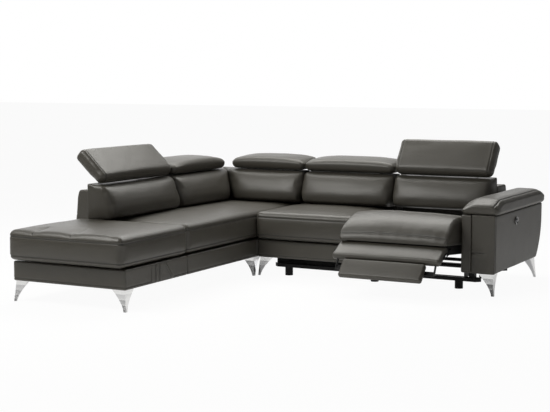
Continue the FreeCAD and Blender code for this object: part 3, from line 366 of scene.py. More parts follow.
def makeObject(name, points, faces, material, paintedShadeAndDirt=None, levels=1):
    mesh = bpy.data.meshes.new(name)
    mesh.from_pydata(points.tolist(), [], faces.tolist() if hasattr(faces, "tolist") else faces)
    mesh.polygons.foreach_set("use_smooth", [True] * len(mesh.polygons))
    # Mask of painted shade (with some dirt) along seams and folds, read by the leather
    if paintedShadeAndDirt is not None:
        mark = mesh.attributes.new("paintedShadeAndDirt", "FLOAT", "POINT")
        mark.data.foreach_set("value", paintedShadeAndDirt.astype(np.float32))
    mesh.materials.append(material)
    mesh.update()
    made = bpy.data.objects.new(name, mesh)
    bpy.context.scene.collection.objects.link(made)
    if levels:
        smooth = made.modifiers.new("smooth", "SUBSURF")
        smooth.levels = levels
        smooth.render_levels = levels
    return made


# The cover swells over its filling: a pressure simulation that holds seams and undersides in place
padding = {"pressure": 4.0, "frames": 12, "quality": 4, "mass": 0.35, "stretch": 22.0, "shear": 9.0,
           "bend": 1.2, "leastHold": 0.02}


def inflate(points, faces, pin, cap):
    mesh = bpy.data.meshes.new("cover")
    mesh.from_pydata(points.tolist(), [], faces.tolist())
    cover = bpy.data.objects.new("cover", mesh)
    bpy.context.scene.collection.objects.link(cover)
    group = cover.vertex_groups.new(name="held")
    for index in np.nonzero(pin > padding["leastHold"])[0].tolist():
        group.add([index], float(min(pin[index], 1.0)), "REPLACE")
    cloth = cover.modifiers.new("cloth", "CLOTH")
    settings = cloth.settings
    settings.quality = padding["quality"]
    settings.mass = padding["mass"]
    settings.tension_stiffness = padding["stretch"]
    settings.compression_stiffness = padding["stretch"] * 0.5
    settings.shear_stiffness = padding["shear"]
    settings.bending_stiffness = padding["bend"]
    settings.use_pressure = True
    settings.uniform_pressure_force = padding["pressure"]
    settings.effector_weights.gravity = 0.0
    settings.vertex_group_mass = "held"
    cloth.collision_settings.use_collision = False
    cloth.point_cache.frame_start = 1
    cloth.point_cache.frame_end = padding["frames"]
    for step in range(1, padding["frames"] + 1):
        bpy.context.scene.frame_set(step)
    settled = cover.evaluated_get(bpy.context.evaluated_depsgraph_get()).data
    after = np.empty(len(points) * 3, dtype=np.float32)
    settled.vertices.foreach_get("co", after)
    move = after.reshape(-1, 3) - points
    far = np.maximum(np.linalg.norm(move, axis=1, keepdims=True), 1e-9)
    bpy.data.objects.remove(cover)
    bpy.data.meshes.remove(mesh)
    bpy.context.scene.frame_set(1)
    return points + move / far * cap * np.tanh(far / cap)  # no point moves further than cap


def upholster(name, wing, points, faces, mark, body, nodes, levels=1):
    made = makeObject(name, toFrame(points, wing), faces, hideLeather, mark, levels)
    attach(made, body)
    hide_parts(*nodes)


stitch = {"pitch": 0.0075, "length": 0.0052, "radius": 0.00065, "proud": 0.0004}
stitchRows = {}


def addStitches(body, path):
    pitch = stitch["pitch"]
    steps = np.linalg.norm(np.diff(path, axis=0), axis=1)
    run = np.concatenate([[0], np.cumsum(steps)])
    if run[-1] < pitch * 2:
        return
    starts = np.arange(pitch, run[-1] - pitch, pitch)
    spots = np.stack([np.interp(starts, run, path[:, i]) for i in range(3)], 1)
    ends = np.stack([np.interp(starts + stitch["length"], run, path[:, i]) for i in range(3)], 1)
    stitchRows.setdefault(body, []).append((spots, ends))


def near(values, target):
    return np.abs(values - target) < 1e-6


def sewRow(body, wing, points, raw, picked, axis):
    order = np.argsort(raw[picked][:, axis])
    addStitches(body, toFrame(points[picked][order], wing))


def grooves(seams, base, spread=0.0042, depth=0.0034):
    push = np.zeros(len(base))
    mark = np.zeros(len(base))
    for distance, weight in seams:
        push -= depth * weight * np.exp(-(distance / spread) ** 2)
        push += depth * 0.45 * weight * np.exp(-((np.abs(distance) - spread * 3.2) / (spread * 2.4)) ** 2)
        # mark: painted shade with some dirt along each seam groove, darkened in the leather
        mark = np.maximum(mark, weight * np.exp(-(distance / (spread * 0.75)) ** 2))
    return push, mark


def puckers(distance, along, reach, size, pitch, seed):
    line = np.stack([along / pitch, np.zeros_like(along), np.zeros_like(along)], 1)
    wave = softNoise(line, 1.0, seed) + 0.5 * softNoise(line, 2.3, seed + 3)
    return size * wave * np.exp(-np.abs(distance) / reach)


# Camera, light and stage

cameraView = {"spot": (4.0645, -7.786, 1.470), "turn": 28.02, "tip": -5.95, "lens": 85.09}
studio = {"floorTone": (0.9, 0.9, 0.9, 1), "floorRough": 0.85, "floorHalf": 40, "seen": 0.95,
          "mirrored": 0.35, "sky": 0.13, "toward": (-0.75, 0.65, -0.05), "from": 0.5, "until": 0.95,
          "dim": 0.06, "bright": 1.5}
warmWhite = (1.0, 0.99, 0.95)
softboxes = (  # name, spot, target, width, height, power, colour
    ("topSoftbox", (-0.7, 1.7, 3.4), (-0.2, 0.3, 0.4), 4.2, 2.0, 125, warmWhite),
    ("keySoftbox", (-2.1, -2.9, 3.7), (-0.1, 0.7, 0.5), 2.8, 1.5, 135, warmWhite),
    ("fillSoftbox", (3.6, -3.4, 1.8), (0.4, 0.2, 0.5), 2.2, 2.2, 8, (0.97, 0.98, 1.0)),
    ("rimSoftbox", (3.4, 2.2, 2.4), (0.6, 0.6, 0.6), 1.6, 2.0, 5, (1.0, 1.0, 1.0)),
)


def makeCamera():
    turn, tip = math.radians(cameraView["turn"]), math.radians(cameraView["tip"])
    ahead = Vector((-math.sin(turn) * math.cos(tip), math.cos(turn) * math.cos(tip), math.sin(tip)))
    data = bpy.data.cameras.new("studioCamera")
    data.lens = cameraView["lens"]
    data.sensor_width = 36
    data.clip_end = 200
    camera = bpy.data.objects.new("studioCamera", data)
    camera.location = cameraView["spot"]
    camera.rotation_euler = ahead.to_track_quat("-Z", "Y").to_euler()
    bpy.context.scene.collection.objects.link(camera)
    bpy.context.scene.camera = camera


def softbox(name, spot, target, width, height, power, colour):
    data = bpy.data.lights.new(name, "AREA")
    data.shape = "RECTANGLE"
    data.size = width
    data.size_y = height
    data.energy = power
    data.color = colour
    lamp = bpy.data.objects.new(name, data)
    lamp.location = spot
    lamp.rotation_euler = (Vector(target) - Vector(spot)).to_track_quat("-Z", "Y").to_euler()
    bpy.context.scene.collection.objects.link(lamp)


def rayKinds(graph):
    kinds = ("Camera", "Glossy", "Transmission")
    return [graph.node("ShaderNodeLightPath", output=f"Is {kind} Ray") for kind in kinds]


def makeFloor():
    floor = Finish("whiteFloor", Base_Color=studio["floorTone"], Specular_IOR_Level=0.1)
    camera, glossy, through = rayKinds(floor)
    grain = floor.noise(floor.place(), 3.0)
    floor.set(Roughness=studio["floorRough"] + grain * 0.1)
    glow = floor.node("ShaderNodeEmission", {}, {"Color": (1, 1, 1, 1), "Strength": 1.0})
    seen = camera * studio["seen"] + glossy * studio["mirrored"] + through * studio["seen"]
    matt = Wire(floor.tree, floor.shader.outputs[0])
    mixed = floor.node("ShaderNodeMixShader", {}, {0: seen, 1: matt, 2: glow})
    end = next(n for n in floor.tree.nodes if n.type == "OUTPUT_MATERIAL")
    floor.tree.links.new(mixed.socket, end.inputs["Surface"])
    half = studio["floorHalf"]
    points = np.array([[-half, -half, 0], [half, -half, 0], [half, half, 0], [-half, half, 0]], float)
    ground = makeObject("studioFloor", points, np.array([[0, 1, 2, 3]]), floor.material, levels=0)


def makeSky():
    world = bpy.data.worlds.new("studioSky")
    world.use_nodes = True
    bpy.context.scene.world = world
    sky = Graph(world.node_tree)
    back = next(n for n in sky.tree.nodes if n.type == "BACKGROUND")
    camera, glossy, through = rayKinds(sky)
    aim = sky.node("ShaderNodeTexCoord", output="Generated")
    depth = sky.node("ShaderNodeVectorMath", {"operation": "DOT_PRODUCT"}, {0: aim, 1: studio["toward"]},
                     "Value")
    bright = sky.node("ShaderNodeMapRange", {}, {"Value": depth, "From Min": studio["from"],
                                                 "From Max": studio["until"], "To Min": studio["dim"],
                                                 "To Max": studio["bright"]})
    strength = camera + through + glossy * bright
    plain = (1 - camera) * (1 - glossy) * (1 - through)
    feed(sky.tree, back.inputs["Color"], (1.0, 1.0, 1.0, 1))
    feed(sky.tree, back.inputs["Strength"], strength + plain * studio["sky"])


makeCamera()
makeFloor()
makeSky()
for row in softboxes:
    softbox(*row)
bpy.context.scene.view_settings.view_transform = "Standard"
print("camera and studio made")


# Boxed cushions

seatShape = {"edge": 0.033, "topSeam": 0.040, "lowSeam": 0.03, "cell": 0.016, "crown": 0.016, "fall": 2.4,
             "belly": 0.007, "gather": (0.03, 0.0011, 0.035), "drape": 0.0022,
             "swell": 0.003, "thread": 0.0003, "tufts": (), "tuftRun": 0.0, "tuftDip": 0.0, "tuftWidth": 0.06}
chaiseShape = dict(seatShape, edge=0.036, topSeam=0.042, tufts=(0.22, 0.56), tuftRun=0.19, tuftDip=0.006)


def boxCushion(name, wing, low, high, shape, body, nodes):
    size = [h - l for l, h in zip(low, high)]
    edge, cell = shape["edge"], shape["cell"]
    topSeam = size[2] - shape["topSeam"]
    rows = [topSeam, shape["lowSeam"]]
    tufts = [size[0] * share for share in shape["tufts"]]
    edges = ((edge, edge), (edge, edge), (edge * 0.9, edge))
    raw, faces = block(size, edges, cell, (tufts, (), rows))
    points = roundedBox(raw, size, edge)
    s, t = centred(points, size)
    up = points[:, 2] / size[2]
    # The top is crowned and the four sides belly out
    lift = (1 - np.abs(s) ** shape["fall"]) * (1 - np.abs(t) ** shape["fall"])
    rise = shape["crown"] * lift * ramp(up, 0.45, 1.0)
    points[:, 2] += rise
    belly = np.sin(np.pi * np.clip(up, 0, 1)) * shape["belly"]
    inward = 1 - np.abs(s) ** 6
    points[:, 1] -= belly * ramp(-t, 0.75, 1.0) * inward
    points[:, 1] += belly * ramp(t, 0.75, 1.0) * inward * 0.4
    sides = belly * 0.6 * (1 - np.abs(t) ** 6)
    points[:, 0] += sides * (ramp(s, 0.9, 1.0) - ramp(-s, 0.9, 1.0))
    for middle in tufts:
        run = ramp(shape["tuftRun"] - points[:, 1], 0.0, 0.09)
        dip = np.exp(-((points[:, 0] - middle) / shape["tuftWidth"]) ** 2)
        points[:, 2] -= shape["tuftDip"] * dip * run * ramp(up, 0.8, 1.0)
    # Seams, gathers beside them, and soft waves
    skin = normals(points, faces)
    flat = np.abs(skin[:, 2])
    onSide = ramp(1 - flat, 0.15, 0.6)
    seams = [(points[:, 2] - row - rise, onSide) for row in rows]
    for middle in tufts:
        run = ramp(shape["tuftRun"] - points[:, 1], 0.0, 0.02) * ramp(flat, 0.4, 0.8) * ramp(up, 0.8, 0.95)
        seams.append((points[:, 0] - middle, run))
    push, mark = grooves(seams, points)
    along = points[:, 0] + points[:, 1]
    push += puckers(seams[0][0], along, *shape["gather"], 11)
    roll = softNoise(points * np.array([1.0, 1.0, 1.6]), 5.0, 5) * 0.6 + softNoise(points, 11.0, 8) * 0.4
    push += shape["drape"] * roll * ramp(up, 0.1, 0.5)
    points = points + skin * push[:, None]
    points = inflate(points, faces, np.maximum(mark * 1.3, ramp(0.10 - up, 0.0, 0.08)), shape["swell"])
    place = points + np.array(low)
    upholster(name, wing, place, faces, np.clip(mark, 0, 1), body, nodes)
    raised = place + skin * shape["thread"]
    beside = near(raw[:, 2], topSeam + stitchOff)
    for axis, side in ((1, 0.0), (0, size[0]), (0, 0.0)):
        sewRow(body, wing, raised, raw, beside & near(raw[:, axis], side), 1 - axis)


boxCushion("chaiseCushion", "right", (-0.868, -1.715, 0.2705), (0.002, -0.9515, 0.465), chaiseShape, "frame",
           ("chaise_cushion",))
boxCushion("leftSeatCushion", "left", (-0.9455, 0.005, 0.2705), (0.69, 0.69, 0.465), seatShape, "frame",
           ("left_seat_cushion", "corner_seat_cushion"))
boxCushion("rightSeatCushion", "right", (0.0035, -0.042, 0.2705), (0.7795, 0.69, 0.465), seatShape, "frame",
           ("right_seat_cushion",))
print("seat cushions made")


# Upholstered bases

baseShape = {"edge": 0.012, "cell": 0.03, "row": 0.02, "hem": 0.018, "groove": (0.003, 0.0016),
             "drape": 0.0009, "inset": 0.0009}


def baseBlock(name, wing, low, high, node):
    size = [h - l for l, h in zip(low, high)]
    edge, cell = baseShape["edge"], baseShape["cell"]
    hem = baseShape["hem"]
    raw, faces = block(size, edge, (cell, cell, baseShape["row"]), ((), (), [hem]))
    points = roundedBox(raw, size, edge)
    skin = normals(points, faces)
    side = ramp(1 - np.abs(skin[:, 2]), 0.3, 0.8)
    push, mark = grooves([(points[:, 2] - hem, side)], points, *baseShape["groove"])
    push += baseShape["drape"] * (softNoise(points, 4.0, 3) + 0.5 * softNoise(points, 12.0, 6)) * side
    points = points + skin * (push - baseShape["inset"])[:, None]
    upholster(name, wing, points + np.array(low), faces, mark, "frame", (node,))


baseBlock("chaiseBase", "left", (-1.669, 0.0, 0.133), (-0.9503, 0.868, 0.262), "chaise_base")
baseBlock("leftBase", "left", (-0.9497, 0.0, 0.133), (-0.0003, 0.868, 0.262), "left_base")
baseBlock("cornerBase", "right", (-0.868, 0.0003, 0.133), (-0.0003, 0.868, 0.262), "corner_base")
baseBlock("rightBase", "right", (0.0003, 0.0, 0.133), (0.7800, 0.868, 0.262), "right_base")


gusset = {"length": 0.262, "height": 0.116, "start": -1.380, "low": 0.1395, "proud": 0.0002, "cloth": 0.0006,
          "fold": 0.0038, "shadow": 0.004, "fade": 0.01, "columns": 150, "rows": 40}
gussetFolds = ((0.052, 0.0, 0.0075), (0.098, -0.012, 0.0075), (0.150, 0.78, 0.009))  # start, slant, width


def pleats():
    rows, faces, mark = [], [], []
    length, height = gusset["length"], gusset["height"]
    for z in np.linspace(0, height, gusset["rows"]):
        for a in np.linspace(0, length, gusset["columns"]):
            lift = gusset["cloth"]
            dark = 0.0
            for start, slant, width in gussetFolds:
                off = a - start - slant * (height - z)
                lift += gusset["fold"] * math.exp(-(off / width) ** 2)
                # A painted shadow beside each fold, darkened in the leather
                dark = max(dark, math.exp(-((off + width * 1.25) / gusset["shadow"]) ** 2))
            edge = max(0.0, min(1.0, min(a, length - a, z, height - z) / gusset["fade"]))
            rows.append((a + gusset["start"], -lift * edge - gusset["proud"], z + gusset["low"]))
            mark.append(dark * edge)
    wide = gusset["columns"]
    for j in range(gusset["rows"] - 1):
        for i in range(wide - 1):
            k = j * wide + i
            faces.append((k, k + 1, k + wide + 1, k + wide))
    upholster("baseGusset", "left", np.array(rows), np.array(faces), np.array(mark), "frame",
              ("base_gusset",), levels=0)


pleats()
print("bases made")


# Back frames: the outer face bellies out, and the inner face steps in above the base or the seat box

frameShape = {"depth": 0.20, "top": 0.655, "edge": 0.02, "round": 0.014, "cell": 0.03, "row": 0.02,
              "inner": 0.7005, "seam": 0.485, "groove": (0.0035, 0.002), "drape": 0.0016, "fine": 0.0007,
              "inset": 0.0016, "clear": 0.001, "sharp": 0.0002}
tallFrame = {"low": 0.150, "step": 0.2542, "behind": 0.8685}
shortFrame = {"low": 0.3005, "step": 0.4985, "behind": 0.8005}
rearCurve = ((0.150, 0.868), (0.20, 0.898), (0.26, 0.925), (0.33, 0.943), (0.40, 0.944), (0.45, 0.938),
             (0.50, 0.930), (0.55, 0.926), (0.60, 0.922), (0.63, 0.915), (0.655, 0.902))  # height, depth


def backFrame(name, wing, start, end, body, node, seed, form=tallFrame, mitre=None):
    low, step, edge = form["low"], form["step"], frameShape["edge"]
    size = (end - start, frameShape["depth"], frameShape["top"] - low)
    seam = frameShape["seam"] - low
    xs = ticks(size[0], edge, edge, frameShape["cell"])
    ys = ticks(size[1], edge, edge, frameShape["cell"])
    zs = [z for z in ticks(size[2], edge, edge, frameShape["row"], [seam]) if abs(z + low - step) > 0.004]
    zs += [step - frameShape["sharp"] - low, step + frameShape["sharp"] - low]
    raw, faces = lattice(xs, ys, np.array(sorted(zs)))
    points = roundedBox(raw, size, frameShape["round"])
    height = points[:, 2] + low
    front = np.where(height < step, form["behind"], frameShape["inner"])
    outer = follow(height, rearCurve) - frameShape["clear"]
    depth = front + (outer - front) * (points[:, 1] / size[1])
    left = -depth if mitre == "low" else np.full(len(depth), start)
    right = depth if mitre == "high" else np.full(len(depth), start + size[0])
    points = np.stack([left + (right - left) * (points[:, 0] / size[0]), depth, height], 1)
    skin = normals(points, faces)
    rear = ramp(skin[:, 1], 0.2, 0.6)
    push, mark = grooves([(height - frameShape["seam"], rear)], points, *frameShape["groove"])
    waves = frameShape["drape"] * softNoise(points, 4.5, seed)
    waves = waves + frameShape["fine"] * softNoise(points, 13.0, seed + 1)
    push += waves * rear
    points = points + skin * (push - frameShape["inset"])[:, None]
    upholster(name, wing, points, faces, mark, body, (node,))
    picked = near(raw[:, 2], seam + stitchOff) & near(raw[:, 1], size[1])
    sewRow(body, wing, points + np.array([0, stitch["proud"], 0]), raw, picked, 0)


backFrame("leftBackFrame", "left", -0.910, -0.2113, "frame", "left_back_frame", 3)
backFrame("cornerBackLeft", "left", -0.2107, 0.884, "frame", "corner_back_frame", 5, mitre="high")
backFrame("cornerBackRight", "right", -0.884, 0.0767, "frame", "corner_back_frame", 7, mitre="low")
backFrame("rightBackFrame", "right", 0.0773, 0.7837, "frame", "right_back_frame", 9)
backFrame("reclinerBackShell", "right", 0.7925, 1.5560, "recliner_back", "recliner_back_frame", 11,
          shortFrame)
print("back frames made")


# Back cushions: puffed fronts that lean back to the fold under the headrest

backShape = {"cell": 0.013, "edge": 0.034, "rearEdge": 0.015, "rearCell": 0.03, "depth": 0.18, "top": 0.7115,
             "rear": 0.6995, "middle": 0.62, "ridge": 0.005, "ridgeReach": 0.05, "endDip": 0.22,
             "endReach": 0.04, "pull": 0.0024, "lowPull": 0.012, "pullTop": 0.56, "mitreGap": 0.0035,
             "endGather": (0.07, 0.0014, 0.05), "footGather": (0.035, 0.00112, 0.06), "drape": 0.0026,
             "swell": 0.006}
backFoot = {1: 0.479, 2: 0.479, 3: 0.479, 4: 0.479, 5: 0.4865}
frontCurve = ((0.479, 0.520), (0.490, 0.494), (0.505, 0.480), (0.530, 0.473), (0.560, 0.477), (0.600, 0.493),
              (0.640, 0.514), (0.675, 0.535), (0.697, 0.552), (0.7115, 0.576))  # height, depth


def backCushion(number, wing, start, end, body, mitre=None):
    shape, foot = backShape, backFoot[number]
    size = (end - start, shape["depth"], shape["top"] - foot)
    edge, cell = shape["edge"], shape["cell"]
    edges = ((edge, edge), (edge, shape["rearEdge"]), (edge, edge))
    raw, faces = block(size, edges, (cell, shape["rearCell"], cell))
    points = roundedBox(raw, size, edge * (1 - 0.8 * ramp(raw[:, 1], size[1] * 0.5, size[1] * 0.8)))
    s = points[:, 0] / size[0] * 2 - 1
    t = points[:, 1] / size[1]
    ridge = ramp(raw[:, 2], size[2] - shape["ridgeReach"], size[2]) * ramp(t, 0.66, 0.86)
    height = points[:, 2] + foot + shape["ridge"] * ridge
    # The front follows its curve and falls away towards both ends
    front = follow(height, frontCurve)
    nearEnd = np.minimum(points[:, 0], size[0] - points[:, 0])
    puffy = 1 - shape["endDip"] * np.exp(-nearEnd / shape["endReach"])
    front = shape["middle"] + (front - shape["middle"]) * (puffy * (1 - 0.10 * np.abs(s) ** 2))
    depth = front + (shape["rear"] - front) * t
    lowDown = 1 - ramp(height, foot, shape["pullTop"])
    pull = (shape["pull"] + shape["lowPull"] * lowDown) * (1 - t) ** 0.5
    across = points[:, 0] - np.sign(s) * pull * ramp(np.abs(s), 0.9, 1.0)
    share = across / size[0]
    left = across + start
    if mitre == "low":
        limit = -depth + shape["mitreGap"]
        left = limit + (end - limit) * share
    if mitre == "high":
        limit = depth - shape["mitreGap"]
        left = start + (limit - start) * share
    points = np.stack([left, depth, height], 1)
    # Gathers at both ends and along the foot
    skin = normals(points, faces)
    forward = ramp(-skin[:, 1], 0.1, 0.6)
    push = np.zeros(len(points))
    push += puckers(size[0] - raw[:, 0], raw[:, 2], *shape["endGather"], number + 20) * forward
    push += puckers(raw[:, 0], raw[:, 2], *shape["endGather"], number + 30) * forward
    push += puckers(raw[:, 2], raw[:, 0], *shape["footGather"], number + 40) * forward
    stretch = points * np.array([0.7, 1.0, 1.6])
    push += shape["drape"] * (softNoise(stretch, 6.0, number) + 0.4 * softNoise(stretch, 15.0, number + 9))
    points = points + skin * (push * forward)[:, None]
    held = np.maximum(ramp(t, 0.55, 0.75), ramp(0.03 - raw[:, 2], 0.0, 0.02))
    points = inflate(points, faces, held, shape["swell"])
    upholster(f"backCushion{number}", wing, points, faces, np.zeros(len(points)), body,
              (f"back_cushion_{number}",))


backCushion(1, "left", -1.093, -0.2135, "frame")
backCushion(2, "left", -0.2085, 0.698, "frame", "high")
backCushion(3, "right", -0.698, 0.0745, "frame", "low")
backCushion(4, "right", 0.0795, 0.8145, "frame")
backCushion(5, "right", 0.8195, 1.5555, "recliner_back")
print("back cushions made")


# Headrests: pads that turn about a rod in their lower edge

headShape = {"cell": 0.013, "row": 0.02, "edge": 0.030, "blunt": 0.014, "bluntFrom": 0.11, "bluntRun": 0.05,
             "thick": 0.046, "root": 0.045, "tip": 0.042, "length": 0.19, "crown": 0.007, "skew": 0.012,
             "skewReach": 0.03, "pivot": (0.611, 0.765), "flat": 0.01, "seamIn": 0.03,
             "groove": (0.0035, 0.0022), "gather": (0.08, 0.0028, 0.03), "flatGather": (0.08, 0.0008, 0.03),
             "drape": 0.0022, "fine": 0.0009}


def headrest(number, wing, start, end, lean, arch, body):
    shape = headShape
    total = shape["root"] + shape["length"] + shape["tip"]
    size = (end - start, total, shape["thick"] * 2)
    edge, cell, inset = shape["edge"], shape["cell"], shape["seamIn"]
    flat = arch < shape["flat"]  # a flat pad has a seam near each end, an arched one has gathers
    seams = [inset, size[0] - inset] if flat else ()
    raw, faces = block(size, edge, (cell, cell, shape["row"]), (seams, (), ()))
    blunt = shape["blunt"] * ramp(shape["bluntFrom"] - raw[:, 1], 0.0, shape["bluntRun"])
    points = roundedBox(raw, size, edge + blunt)
    s, t = centred(points, size)
    along = points[:, 1] - shape["root"]
    thick = points[:, 2] - shape["thick"]
    up = ramp(thick, -0.01, shape["thick"])
    crown = shape["crown"] * (1 - np.abs(s) ** 4) * (1 - np.abs(t) ** 2.5)
    thick = thick + crown * up
    thick = thick - arch * np.abs(s) ** 3.4 * up
    nearEnd = np.minimum(points[:, 0], size[0] - points[:, 0])
    along = along + shape["skew"] * np.exp(-nearEnd / shape["skewReach"]) * (0.5 - points[:, 1] / total)
    lie = math.radians(lean)
    depth = shape["pivot"][0] + along * math.sin(lie) - thick * math.cos(lie)
    height = shape["pivot"][1] + along * math.cos(lie) + thick * math.sin(lie)
    points = np.stack([points[:, 0] + start, depth, height], 1)
    skin = normals(points, faces)
    face = ramp(raw[:, 2], shape["thick"] * 0.6, shape["thick"] * 1.6)
    lines = [(raw[:, 0] - inset, face), (raw[:, 0] - size[0] + inset, face)] if flat else []
    push, mark = grooves(lines, points, *shape["groove"])
    gather = shape["flatGather"] if flat else shape["gather"]
    push += puckers(raw[:, 0], raw[:, 1], *gather, number + 50)
    push += puckers(size[0] - raw[:, 0], raw[:, 1], *gather, number + 60)
    stretch = points * np.array([0.6, 1.2, 1.2])
    waves = shape["drape"] * softNoise(stretch, 7.0, number + 70)
    push += waves + shape["fine"] * softNoise(stretch, 18.0, number + 75)
    points = points + skin * (push * ramp(raw[:, 2], 0.0, 0.03))[:, None]
    upholster(f"headrest{number}", wing, points, faces, mark, body, (f"headrest_{number}",))


headrest(1, "left", -1.0885, -0.2335, 47, 0.004, "headrest_1")
headrest(2, "left", -0.2045, 0.5445, 86, 0.022, "headrest_2")
headrest(3, "right", -0.5545, 0.0785, 86, 0.022, "headrest_3")
headrest(4, "right", 0.0800, 0.8160, 86, 0.022, "headrest_4")
headrest(5, "right", 0.8185, 1.5585, 34, 0.0, "headrest_5")
print("headrests made")


# Recliner seat, footrest and flipper pads in their part-open rest pose

restPose = {"tilt": 5, "hinge": (0.600, 0.250), "glide": 0.265, "footrest": 32,
            "footrestHinge": (-0.012, 0.252), "flipper": 19, "flipperHinge": (-0.125, 0.0)}


def seatPose(points):
    tilt = math.radians(restPose["tilt"])
    hingeDepth, hingeHeight = restPose["hinge"]
    depth = points[:, 1] - hingeDepth
    height = points[:, 2] - hingeHeight
    turned = points.copy()
    turned[:, 1] = hingeDepth + depth * math.cos(tilt) + height * math.sin(tilt) - restPose["glide"]
    turned[:, 2] = hingeHeight - depth * math.sin(tilt) + height * math.cos(tilt)
    return turned


def swung(points, hinge, angle):
    turn = math.radians(angle)
    depth, height = points[:, 1].copy(), points[:, 2].copy()
    moved = points.copy()
    moved[:, 1] = hinge[0] + depth * math.cos(turn) - height * math.sin(turn)
    moved[:, 2] = hinge[1] + depth * math.sin(turn) + height * math.cos(turn)
    return moved


def footrestPose(points):
    return seatPose(swung(points, restPose["footrestHinge"], restPose["footrest"]))


def flipperPose(points):
    return footrestPose(swung(points, restPose["flipperHinge"], restPose["flipper"]))


reclinerShape = {"size": (0.7635, 0.8045, 0.18), "start": 0.7865, "nose": 0.040, "low": 0.2845,
                 "endFall": 0.015, "edge": 0.022, "cell": 0.014, "row": 0.02, "groove": (0.0038, 0.0028),
                 "gather": (0.03, 0.0012, 0.04), "drape": 0.0025, "swell": 0.004}
reclinerSeams = (0.0145, 0.330)
waterfall = ((-0.040, 0.309), (-0.034, 0.330), (-0.022, 0.352), (0.0, 0.382), (0.052, 0.425), (0.10, 0.452),
             (0.16, 0.474), (0.225, 0.486), (0.35, 0.485), (0.45, 0.480), (0.60, 0.471), (0.741, 0.459),
             (0.765, 0.455))  # depth, height


def reclinerSeat():
    shape, size = reclinerShape, reclinerShape["size"]
    edge, cell = shape["edge"], shape["cell"]
    raw, faces = block(size, edge, (cell, cell, shape["row"]), ((), reclinerSeams, ()))
    points = roundedBox(raw, size, edge)
    s = points[:, 0] / size[0] * 2 - 1
    depth = points[:, 1] - shape["nose"]
    top = follow(depth, waterfall) - shape["endFall"] * np.abs(s) ** 3
    share = points[:, 2] / size[2]
    height = shape["low"] + (top - shape["low"]) * share
    points = np.stack([points[:, 0] + shape["start"], depth, height], 1)
    skin = normals(points, faces)
    above = ramp(share, 0.6, 0.95)
    lines = [(raw[:, 1] - seam, above) for seam in reclinerSeams]
    push, mark = grooves(lines, points, *shape["groove"])
    for seam in reclinerSeams:
        push += puckers(raw[:, 1] - seam, raw[:, 0], *shape["gather"], 81) * above
    push += shape["drape"] * (softNoise(points, 5.0, 83) + 0.4 * softNoise(points, 13.0, 84)) * above
    points = points + skin * push[:, None]
    points = inflate(points, faces, np.maximum(mark * 1.3, ramp(0.35 - share, 0.0, 0.15)), shape["swell"])
    upholster("reclinerSeat", "right", seatPose(points), faces, mark, "recliner_seat",
              ("recliner_seat_cushion",))
    raised = seatPose(points + skin * stitch["proud"])
    first, second = reclinerSeams
    for spot in (first + stitchOff, first - stitchOff, second - stitchOff):
        sewRow("recliner_seat", "right", raised, raw, near(raw[:, 1], spot) & near(raw[:, 2], size[2]), 0)


reclinerSeat()


legPadShape = {"cell": 0.014, "row": 0.012, "gather": (0.03, 0.0009, 0.03), "drape": 0.0013}
footrestPad = {"left": 0.7865, "width": 0.763, "start": 0.0, "end": 0.125, "thick": 0.025, "lift": 0.006}
flipperPad = {"left": 0.8765, "width": 0.583, "start": 0.050, "end": 0.150, "thick": 0.020, "lift": 0.004}


def legPad(name, pad, pose, body, node, seed):
    shape, thick, row = legPadShape, pad["thick"], legPadShape["row"]
    size = (pad["width"], pad["end"] - pad["start"] + thick * 2, thick * 2)
    edge = thick * 0.8
    raw, faces = block(size, edge, (shape["cell"], row, row))
    points = roundedBox(raw, size, edge)
    s, t = centred(points, size)
    up = ramp(points[:, 2], thick * 0.8, thick * 2)
    points[:, 2] += pad["lift"] * (1 - np.abs(s) ** 5) * (1 - np.abs(t) ** 2.4) * up
    skin = normals(points, faces)
    push = puckers(raw[:, 0], raw[:, 1], *shape["gather"], seed) * up
    push += puckers(size[0] - raw[:, 0], raw[:, 1], *shape["gather"], seed + 1) * up
    push += shape["drape"] * softNoise(points, 8.0, seed + 2) * up
    points = points + skin * push[:, None]
    local = points + np.array([pad["left"], -(pad["end"] + thick), -thick])
    upholster(name, "right", pose(local), faces, np.zeros(len(points)), body, (node,))


legPad("footrestPad", footrestPad, footrestPose, "footrest", "footrest_pad", 91)
legPad("flipperPad", flipperPad, flipperPose, "flipper", "flipper_pad", 95)
print("recliner pads made")


# Arm

armShape = {"size": (0.234, 1.0685, 0.388), "start": (1.568, -0.0775, 0.142), "round": 0.014, "cell": 0.02,
            "longCell": 0.03, "edge": 0.02, "rearEdge": 0.05, "rowEdge": 0.016, "panelEdge": 0.072,
            "recess": 0.0235, "drape": 0.0011, "fine": 0.0005, "inset": 0.0013}
armRearCurve = ((0.142, 0.862), (0.19, 0.905), (0.26, 0.948), (0.33, 0.975), (0.40, 0.988), (0.53, 0.989))


def armCore():
    shape, size = armShape, armShape["size"]
    left, front, low = shape["start"]
    edges = ((shape["edge"], shape["edge"]), (shape["edge"], shape["rearEdge"]), (shape["rowEdge"],) * 2)
    cells = (shape["cell"], shape["longCell"], shape["cell"])
    raw, faces = block(size, edges, cells, ([shape["panelEdge"]], (), ()))
    points = roundedBox(raw, size, shape["round"])
    height = points[:, 2] + low
    t = points[:, 1] / size[1]
    depth = front + (follow(height, armRearCurve) - front) * t
    across = points[:, 0]
    depth = depth + shape["recess"] * (ramp(across, 0.069, 0.078) * ramp(1 - t, 0.94, 0.99))
    points = np.stack([across + left, depth, height], 1)
    skin = normals(points, faces)
    push = shape["drape"] * softNoise(points, 4.0, 101) + shape["fine"] * softNoise(points, 14.0, 102)
    points = points + skin * (push - shape["inset"])[:, None]
    upholster("armCore", "right", points, faces, np.zeros(len(points)), "frame", ("arm_frame",))


